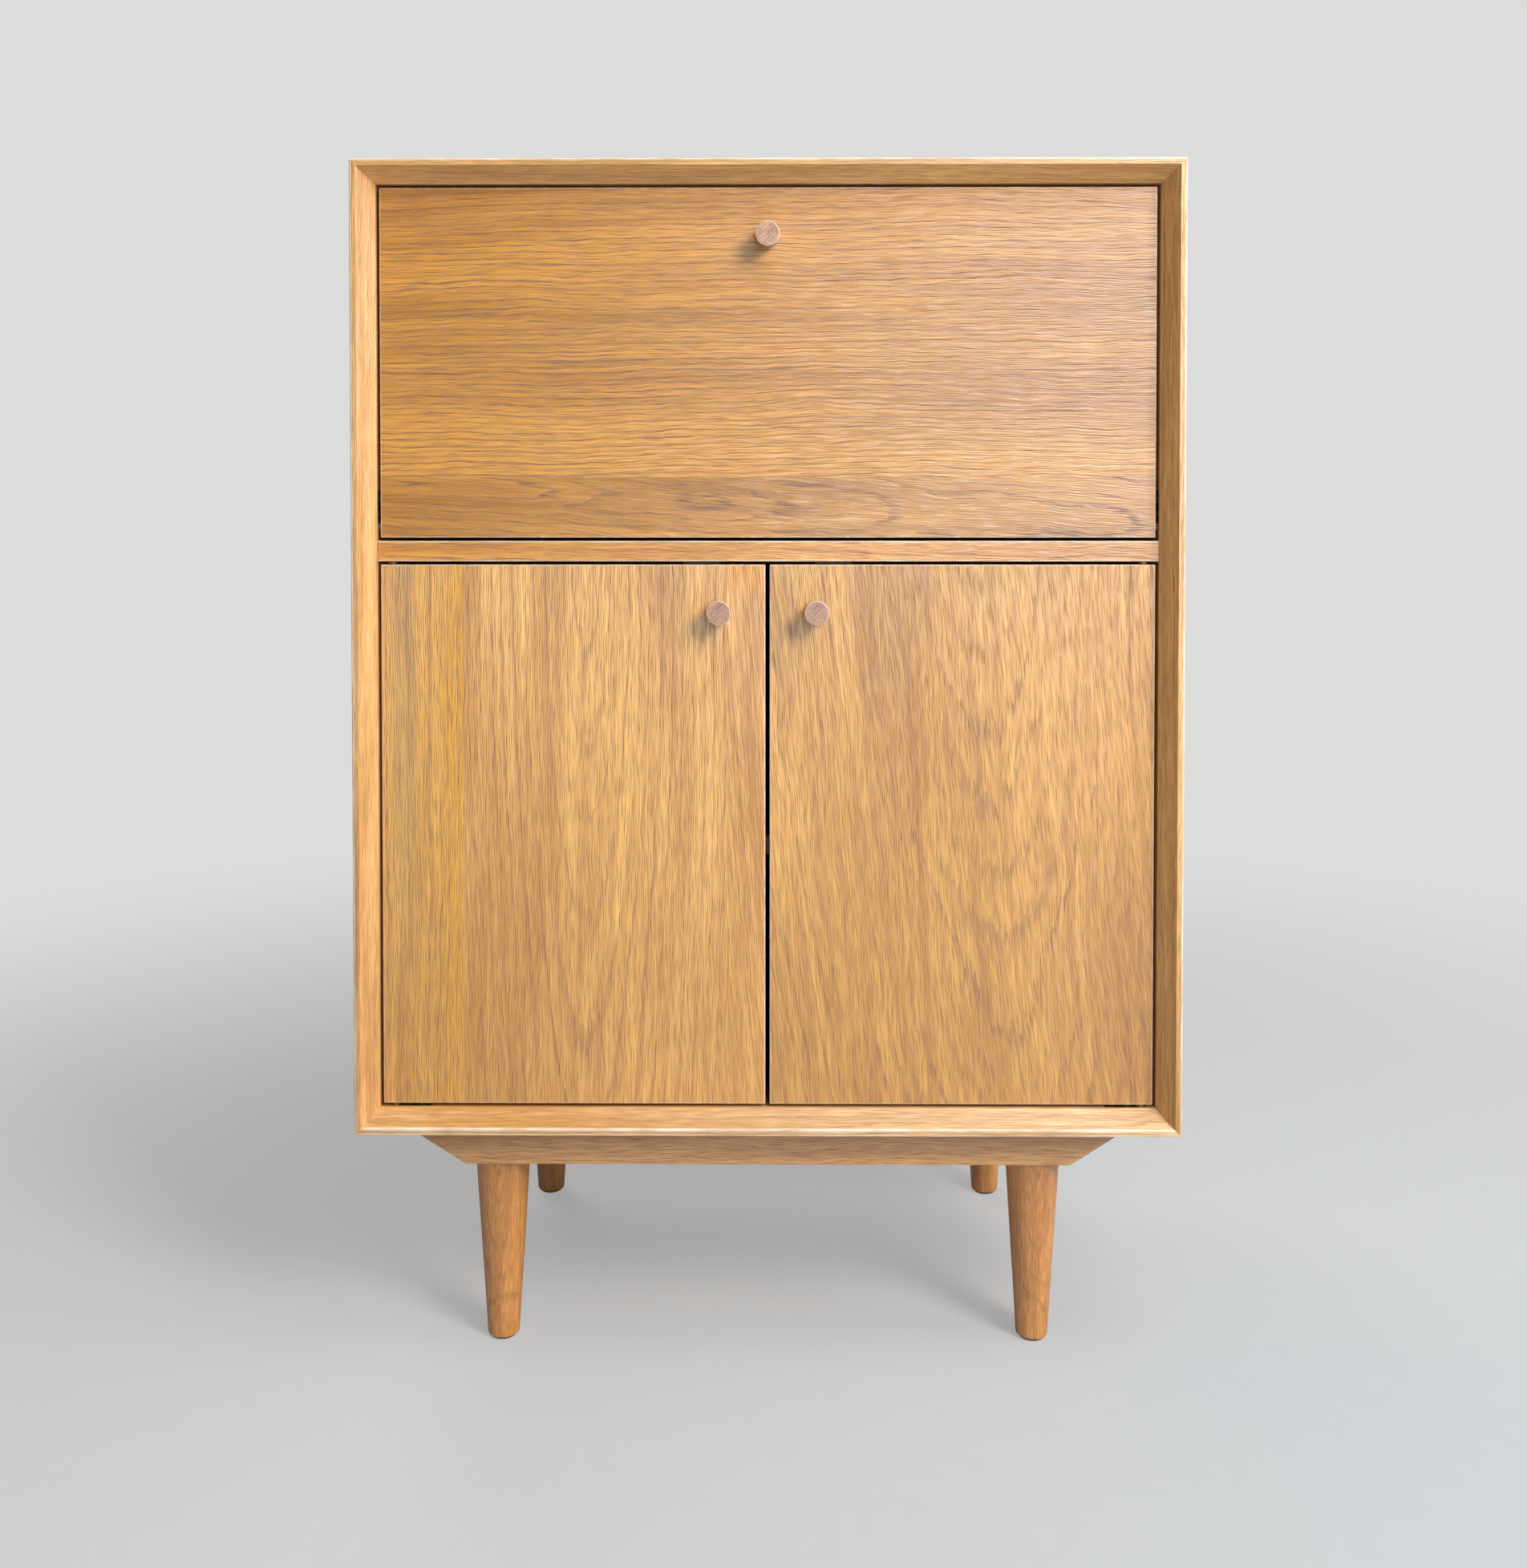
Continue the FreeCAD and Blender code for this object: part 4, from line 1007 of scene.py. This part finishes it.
@dataclass
class Base:
    """The base frame with its slanted ends, the four turned legs and their glides."""

    face: float = Side.FRONT.of("base_front_rail")
    low: float = Side.UNDER.of("base_front_rail")
    high: float = Side.TOP.of("base_front_rail")
    end_face: float = 0.30
    # Where the painted shadow under the case's overhang starts above the rails' lower edge, and how far below
    # their top it is full
    shade_start: float = 0.010
    shade_full: float = 0.003

    def dress(self, nodes: Nodes) -> None:
        """Gives the rails, the legs and the glides their finishes.

        Args:
            nodes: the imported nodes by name.
        """
        # A painted shadow of the case's overhang: the rails and ends are painted darker towards their top
        painted_shadow_span = onward(self.low + self.shade_start, self.high - self.shade_full)
        tones = {
            "ring": 0.0042,
            "light": (0.76, 0.352, 0.104),
            "deep": (0.52, 0.212, 0.054),
            "line_share": 0.30,
            # The stain is the painted shadow under the case's overhang
            "stains": (Stain(EVERYWHERE, painted_shadow_span, (0.24, 0.084, 0.014), 1.05),),
        }
        rail = OakFinish("oak_base", Grain.LEVEL_FRONT, (Leaf(0.0, 0.205, 0.022, 0.02),), self.face, **tones)
        end = OakFinish("oak_base_end", Grain.CROSS_RAIL, (Leaf(0.0, 0.21, 0.05),), self.end_face, **tones)
        for finish, names in ((rail, ("front_rail", "back_rail")), (end, ("left_end", "right_end"))):
            material = finish.material()
            for name in names:
                paint(nodes[f"base_{name}"], material)
        for hand in ("left", "right"):
            for place in ("front", "back"):
                name = f"{place}_{hand}_leg"
                paint(nodes[name], self.leg(name).material())
        beech = OakFinish(
            "beech",
            Grain.LEVEL_FRONT,
            (Leaf(0.0, 0.30, 0.10),),
            light=(0.70, 0.49, 0.29),
            deep=(0.60, 0.39, 0.21),
            line=(0.48, 0.29, 0.15),
            pore=(0.42, 0.24, 0.12),
            gloss=0.6,
            shine=0.35,
        ).material()
        for name in ("base_leg_blocks", "corner_splines", "divider_dowels"):
            paint(nodes[name], beech)
        glide = PlasticFinish("glide", (0.055, 0.048, 0.042), (0.12, 0.11, 0.10))
        paint(nodes["foot_glides"], glide.material())

    def leg(self, name: str) -> OakFinish:
        """The finish of one turned leg, cut so that its front shows pointed arches.

        Args:
            name: the leg's name.

        Returns:
            The finish.
        """
        low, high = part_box(name)
        middle = (low + high) / 2.0
        return OakFinish(
            f"oak_{name}",
            Grain.UPRIGHT_FRONT,
            (Leaf(-1.0, middle.x, 0.008, 0.175, figure=0.0),),
            middle.y,
            ring=0.0030,
            wander=0.006,
            sway=0.0030,
            ripple=0.0012,
            fray=0.3,
            soft=0.50,
            steady=0.45,
            light=(0.64, 0.242, 0.046),
            deep=(0.36, 0.124, 0.022),
            line_share=0.66,
            pore_share=0.45,
            gloss=0.26,
            shine=1.0,
        )


class ScrewSize(Enum):
    """The screws in use: head radius, head height, shank radius and whole length."""

    SMALL = (0.0028, 0.0016, 0.0014, 0.014)
    CATCH = (0.0028, 0.0016, 0.0014, 0.027)
    KNOB = (0.0040, 0.0024, 0.0020, 0.030)
    BASE = (0.0050, 0.0030, 0.0025, 0.056)


@dataclass(frozen=True)
class ScrewSet:
    """A set of countersunk screws of one size on one body.

    Attributes:
        node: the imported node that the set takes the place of.
        body: the body that it rides on.
        size: the size of its screws.
    """

    node: str
    body: str
    size: ScrewSize

    def points(self, source: bpy.types.Object) -> bpy.types.Mesh:
        """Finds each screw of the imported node.

        Args:
            source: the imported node.

        Returns:
            A mesh with one point at the middle of each head and the way that its screw drives.
        """
        shape = bmesh.new()
        shape.from_mesh(source.data)
        bmesh.ops.remove_doubles(shape, verts=shape.verts, dist=1e-6)
        heads: list[Vector] = []
        ways: list[Vector] = []
        found: set[bmesh.types.BMVert] = set()
        for vert in shape.verts:
            if vert in found:
                continue
            island = self.island(vert)
            found |= island
            corners = [corner.co for corner in island]
            low = Vector(min(corner[axis] for corner in corners) for axis in range(3))
            high = Vector(max(corner[axis] for corner in corners) for axis in range(3))
            axis = max(range(3), key=lambda index: high[index] - low[index])
            middle = (low + high) / 2.0
            near = [corner for corner in corners if corner[axis] < middle[axis]]
            far = [corner for corner in corners if corner[axis] > middle[axis]]
            wider = self.girth(near, middle, axis) > self.girth(far, middle, axis)
            head = Vector(middle)
            head[axis] = low[axis] if wider else high[axis]
            heads.append(head)
            ways.append((middle - head).normalized())
        shape.free()
        mesh = bpy.data.meshes.new(f"{self.node}_points")
        mesh.from_pydata(heads, [], [])
        way = mesh.attributes.new("way", "FLOAT_VECTOR", "POINT")
        way.data.foreach_set("vector", [number for vector in ways for number in vector])
        return mesh

    @staticmethod
    def girth(corners: Sequence[Vector], middle: Vector, axis: int) -> float:
        """How far the widest of some corners lies from a screw's middle line on an axis, squared."""
        reaches = [corner - middle for corner in corners]
        return max(reach.length_squared - reach[axis] ** 2 for reach in reaches)

    @staticmethod
    def island(first: bmesh.types.BMVert) -> set[bmesh.types.BMVert]:
        """All the corners joined to one corner by edges."""
        found = {first}
        waiting = [first]
        while waiting:
            for edge in waiting.pop().link_edges:
                for vert in edge.verts:
                    if vert not in found:
                        found.add(vert)
                        waiting.append(vert)
        return found

    def build(
        self, source: bpy.types.Object, tree: bpy.types.GeometryNodeTree, steel: bpy.types.Material
    ) -> None:
        """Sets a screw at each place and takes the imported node's place.

        Args:
            source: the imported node.
            tree: the geometry tree that sets the screws.
            steel: the screws' material.
        """
        holder = bpy.data.objects.new(f"{self.node}_holder", self.points(source))
        bpy.context.scene.collection.objects.link(holder)
        modifier = holder.modifiers.new("screws", "NODES")
        modifier.node_group = tree
        head, rise, shank, length = self.size.value
        values = {
            "Head Radius": head,
            "Head Height": rise,
            "Shank Radius": shank,
            "Length": length,
            "Seed": len(self.node),
            "Material": steel,
        }
        for item in tree.interface.items_tree:
            if item.name in values:
                modifier[item.identifier] = values[item.name]
        holder.update_tag()
        graph = bpy.context.evaluated_depsgraph_get()
        mesh = bpy.data.meshes.new_from_object(holder.evaluated_get(graph), depsgraph=graph)
        bpy.data.objects.remove(holder)
        name = f"{self.node}_crossed"
        mesh.name = name
        piece = bpy.data.objects.new(name, mesh)
        bpy.context.scene.collection.objects.link(piece)
        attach(piece, self.body)
        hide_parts(self.node)
        log.info("%s: %d faces", name, len(mesh.polygons))


class ScrewTree(NodeTree):
    """The geometry tree that sets a cross-headed countersunk screw at each point."""

    INPUTS = (
        ("Geometry", "NodeSocketGeometry"),
        ("Head Radius", "NodeSocketFloat"),
        ("Head Height", "NodeSocketFloat"),
        ("Shank Radius", "NodeSocketFloat"),
        ("Length", "NodeSocketFloat"),
        ("Seed", "NodeSocketInt"),
        ("Material", "NodeSocketMaterial"),
    )
    # The arms of the cross are told in radii and heights of the head, and the twist in radians
    HEAD_SIDES = 20
    SHANK_SIDES = 12
    ARM_LENGTH = 1.15
    ARM_WIDTH = 0.24
    ARM_DEPTH = 1.30
    MOST_TWIST = 1.5

    def __init__(self) -> None:
        """Opens the tree and its named inputs."""
        super().__init__(bpy.data.node_groups.new("cross_headed_screws", "GeometryNodeTree"))
        for name, kind in self.INPUTS:
            self.tree.interface.new_socket(name, in_out="INPUT", socket_type=kind)
        self.tree.interface.new_socket("Geometry", in_out="OUTPUT", socket_type="NodeSocketGeometry")
        self.entry = self.add("NodeGroupInput", {}, {}).socket.node

    def given(self, name: str) -> Term:
        """One of the tree's named inputs."""
        return Term(self, self.entry.outputs[name])

    def bar(self, wide: float, high: float) -> Term:
        """One arm of the cross recess.

        Args:
            wide: its width in radii of the head.
            high: its height in radii of the head.

        Returns:
            Its mesh.
        """
        radius = self.given("Head Radius")
        deep = self.given("Head Height") * self.ARM_DEPTH
        size = self.add("ShaderNodeCombineXYZ", {}, {0: radius * wide, 1: radius * high, 2: deep})
        return self.add("GeometryNodeMeshCube", {}, {"Size": size})

    def screw(self) -> Term:
        """One screw, with its head at the origin and its shank along Z.

        Returns:
            Its mesh.
        """
        rise, core = self.given("Head Height"), self.given("Shank Radius")
        cone = {"Radius Top": core, "Radius Bottom": self.given("Head Radius"), "Depth": rise}
        head = self.add("GeometryNodeMeshCone", {}, {"Vertices": self.HEAD_SIDES, **cone})
        arms = [self.bar(self.ARM_LENGTH, self.ARM_WIDTH), self.bar(self.ARM_WIDTH, self.ARM_LENGTH)]
        cut = {"operation": "DIFFERENCE", "solver": "EXACT"}
        head = self.add("GeometryNodeMeshBoolean", cut, {0: head, 1: arms})
        below = self.given("Length") - rise
        rod = {"Vertices": self.SHANK_SIDES, "Radius": core, "Depth": below}
        shank = self.add("GeometryNodeMeshCylinder", {}, rod)
        lower = self.add("ShaderNodeCombineXYZ", {}, {2: below * 0.5 + rise})
        shank = self.add("GeometryNodeTransform", {}, {"Geometry": shank, "Translation": lower})
        return self.add("GeometryNodeJoinGeometry", {}, {0: [head, shank]})

    def build(self) -> bpy.types.GeometryNodeTree:
        """Sets a screw at every point, driven along the point's way and turned by chance.

        Returns:
            The finished tree.
        """
        screw = self.screw()
        way = self.add("GeometryNodeInputNamedAttribute", {"data_type": "FLOAT_VECTOR"}, {"Name": "way"})
        facing = self.add("FunctionNodeAlignRotationToVector", {"axis": "Z"}, {"Vector": way})
        chance = {2: 0.0, 3: self.MOST_TWIST, "Seed": self.given("Seed")}
        angle = self.add("FunctionNodeRandomValue", {"data_type": "FLOAT"}, chance, 1)
        twist = self.add("FunctionNodeAxisAngleToRotation", {}, {"Axis": (0.0, 0.0, 1.0), "Angle": angle})
        turn = self.add("FunctionNodeRotateRotation", {"rotation_space": "LOCAL"}, {0: facing, 1: twist})
        inputs = {"Points": self.given("Geometry"), "Instance": screw, "Rotation": turn}
        screws = self.add("GeometryNodeInstanceOnPoints", {}, inputs)
        screws = self.add("GeometryNodeRealizeInstances", {}, {0: screws})
        dressed = {"Geometry": screws, "Material": self.given("Material")}
        screws = self.add("GeometryNodeSetMaterial", {}, dressed)
        self.add("NodeGroupOutput", {}, {0: screws})
        return self.tree


@dataclass
class Fittings:
    """Hinges, stays, catches, shelf pins and screws."""

    brass: MetalFinish = MetalFinish("brass", (0.62, 0.43, 0.17), (0.30, 0.18, 0.07))
    bronze: MetalFinish = MetalFinish("bronzed_brass", (0.30, 0.165, 0.080), (0.15, 0.080, 0.040), 0.50)
    steel: MetalFinish = MetalFinish("zinc_steel", (0.66, 0.65, 0.62), (0.42, 0.40, 0.36), 0.34, 0.6)
    magnet: MetalFinish = MetalFinish("magnet", (0.16, 0.16, 0.17), (0.08, 0.08, 0.08), 0.40)
    housing: PlasticFinish = PlasticFinish("catch_plastic", (0.110, 0.062, 0.032), (0.20, 0.13, 0.08))

    def dress(self, nodes: Nodes, slots: Mapping[str, str]) -> None:
        """Gives each fitting the finish of its slot, and bronzes the hinge plates.

        Args:
            nodes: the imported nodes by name.
            slots: the record's slot of each node.
        """
        for finish in (self.brass, self.steel, self.magnet, self.housing):
            material = finish.material()
            for name, slot in slots.items():
                if slot == finish.name:
                    paint(nodes[name], material)
        bronze = self.bronze.material()
        for name in slots:
            if name.endswith(("case_plates", "pivot_plates")):
                paint(nodes[name], bronze)

    def drive_screws(self, nodes: Nodes) -> None:
        """Sets cross-headed screws in place of the plain ones.

        Args:
            nodes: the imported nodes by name.
        """
        tree = ScrewTree().build()
        steel = bpy.data.materials[self.steel.name]
        sets = [
            ScrewSet("back_panel_screws", "carcass", ScrewSize.SMALL),
            ScrewSet("base_fixing_screws", "carcass", ScrewSize.BASE),
            ScrewSet("case_fitting_screws", "carcass", ScrewSize.SMALL),
            ScrewSet("catch_screws", "carcass", ScrewSize.CATCH),
            ScrewSet("flap_fitting_screws", "flap", ScrewSize.SMALL),
            ScrewSet("flap_knob_screw", "flap", ScrewSize.KNOB),
        ]
        for hand in ("left", "right"):
            sets.append(ScrewSet(f"{hand}_door_fitting_screws", f"{hand}_door", ScrewSize.SMALL))
            sets.append(ScrewSet(f"{hand}_door_knob_screw", f"{hand}_door", ScrewSize.KNOB))
        for item in sets:
            item.build(nodes[item.node], tree, steel)


@dataclass(frozen=True)
class Lamp:
    """A soft rectangular lamp that the camera does not see.

    Attributes:
        name: the lamp's name.
        place: where it hangs.
        aim: the point that it faces.
        size: its width and height.
        power: its power in watts.
        colour: its colour.
    """

    name: str
    place: Point
    aim: Point
    size: tuple[float, float]
    power: float
    colour: Colour

    def hang(self) -> None:
        """Adds the lamp to the scene."""
        data = bpy.data.lights.new(self.name, "AREA")
        data.shape = "RECTANGLE"
        data.size, data.size_y = self.size
        data.energy = self.power
        data.color = self.colour
        lamp = bpy.data.objects.new(self.name, data)
        lamp.location = self.place
        lamp.visible_camera = False
        lamp.rotation_euler = (Vector(self.aim) - Vector(self.place)).to_track_quat("-Z", "Y").to_euler()
        bpy.context.scene.collection.objects.link(lamp)


@dataclass
class Studio:
    """A pale floor, soft light from the upper right and a camera at the height of the divider."""

    eye: Point = (0.0009, -1.5836, 0.7824)
    pitch: float = -1.25
    turn: float = 0.39
    lens: float = 34.10
    sensor: float = 36.0
    clip: float = 0.02
    shift: tuple[float, float] = (0.0033, -0.1429)
    pale: Colour = (0.72, 0.72, 0.715)
    ambient: Colour = (0.11, 0.11, 0.11)
    floor_light: Colour = (0.485, 0.462, 0.440)
    floor_deep: Colour = (0.455, 0.433, 0.412)
    floor_radius: float = 30.0
    floor_fade: tuple[float, float] = (0.5, 2.3)
    floor_glow: float = 0.45
    lamps: tuple[Lamp, ...] = (
        Lamp("window", (2.21, -2.49, 2.82), (0.0, -0.20, 0.75), (1.20, 1.55), 168.0, (0.985, 1.0, 1.0)),
        Lamp("curtain", (1.00, -3.00, 1.12), (0.10, -0.20, 0.85), (1.90, 0.96), 20.0, (0.54, 0.96, 1.42)),
        Lamp("low_curtain", (0.20, -3.00, 0.60), (0.00, -0.20, 0.70), (1.30, 0.50), 5.4, (0.90, 1.0, 1.08)),
        Lamp("skylight", (0.90, -0.75, 2.75), (0.60, -0.25, 0.30), (1.70, 0.90), 27.0, (0.70, 1.0, 1.28)),
        Lamp("side_window", (2.40, -0.62, 1.55), (-0.37, -0.22, 0.95), (0.70, 0.90), 12.0, (0.75, 1.0, 1.25)),
        Lamp("back_light", (-1.60, 2.30, 3.00), (0.00, 0.10, 0.60), (1.80, 1.40), 45.0, (1.0, 1.0, 1.0)),
    )

    def build(self) -> None:
        """Sets up the camera, the lamps, the world and the floor."""
        bpy.context.scene.view_settings.view_transform = "Standard"
        self.camera()
        for lamp in self.lamps:
            lamp.hang()
        self.world()
        self.floor()

    def camera(self) -> None:
        """Places the camera."""
        data = bpy.data.cameras.new("camera")
        data.sensor_width = self.sensor
        data.lens = self.lens
        data.shift_x, data.shift_y = self.shift
        data.clip_start = self.clip
        camera = bpy.data.objects.new("camera", data)
        camera.location = self.eye
        camera.rotation_euler = (math.radians(90.0 + self.pitch), 0.0, math.radians(self.turn))
        bpy.context.scene.collection.objects.link(camera)
        bpy.context.scene.camera = camera

    def world(self) -> None:
        """Lights all round with a soft grey, and shows a pale backdrop."""
        world = bpy.data.worlds.new("studio")
        world.use_nodes = True
        tree = NodeTree(world.node_tree)
        lit = tree.add("ShaderNodeBackground", {}, {"Color": self.ambient})
        shown = tree.add("ShaderNodeBackground", {}, {"Color": self.pale})
        seen = tree.add("ShaderNodeLightPath", {}, {}, "Is Camera Ray")
        mixed = tree.add("ShaderNodeMixShader", {}, {0: seen, 1: lit, 2: shown})
        tree.add("ShaderNodeOutputWorld", {}, {"Surface": mixed})
        bpy.context.scene.world = world

    def floor(self) -> None:
        """Lays a round pale floor that fades into the backdrop."""
        mesh = bpy.data.meshes.new("floor")
        shape = bmesh.new()
        bmesh.ops.create_circle(shape, cap_ends=True, radius=self.floor_radius, segments=96)
        shape.to_mesh(mesh)
        shape.free()
        floor = bpy.data.objects.new("floor", mesh)
        bpy.context.scene.collection.objects.link(floor)
        tree = ShaderTree("floor")
        x, y, _ = tree.place()
        far = x.hypot(y).ease(*self.floor_fade)
        grain = tree.noise(x * 40.0, y * 40.0, 0.0, 3.0)
        base = tree.blend(self.floor_light, self.floor_deep, grain)
        paper = tree.add("ShaderNodeBsdfPrincipled", {}, {"Base Color": base, "Roughness": 0.85})
        glow = tree.add("ShaderNodeEmission", {}, {"Color": self.pale})
        seen = tree.add("ShaderNodeLightPath", {}, {}, "Is Camera Ray")
        share = (self.floor_glow + far * (1.0 - self.floor_glow)) * seen
        mixed = tree.add("ShaderNodeMixShader", {}, {0: share, 1: paper, 2: glow})
        tree.add("ShaderNodeOutputMaterial", {}, {"Surface": mixed})
        floor.data.materials.append(tree.material)


def paint(piece: bpy.types.Object, material: bpy.types.Material) -> None:
    """Puts one material in every slot of a piece.

    Args:
        piece: the piece.
        material: the material.
    """
    if not piece.material_slots:
        piece.data.materials.append(material)
    for slot in piece.material_slots:
        slot.material = material
    log.info("%s: %s", piece.name, material.name)


def main() -> None:
    """Loads the frame, dresses each sub-assembly and sets the studio."""
    logging.basicConfig(level=logging.INFO, format="%(name)s %(message)s")
    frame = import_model()
    nodes = frame["nodes"]
    slots = {row["node"]: row["material_slot"] for row in frame["record"]["subparts"]}
    Case().dress(nodes)
    Fronts().dress(nodes)
    Base().dress(nodes)
    fittings = Fittings()
    fittings.dress(nodes, slots)
    fittings.drive_screws(nodes)
    Studio().build()


if __name__ == "__main__":
    main()
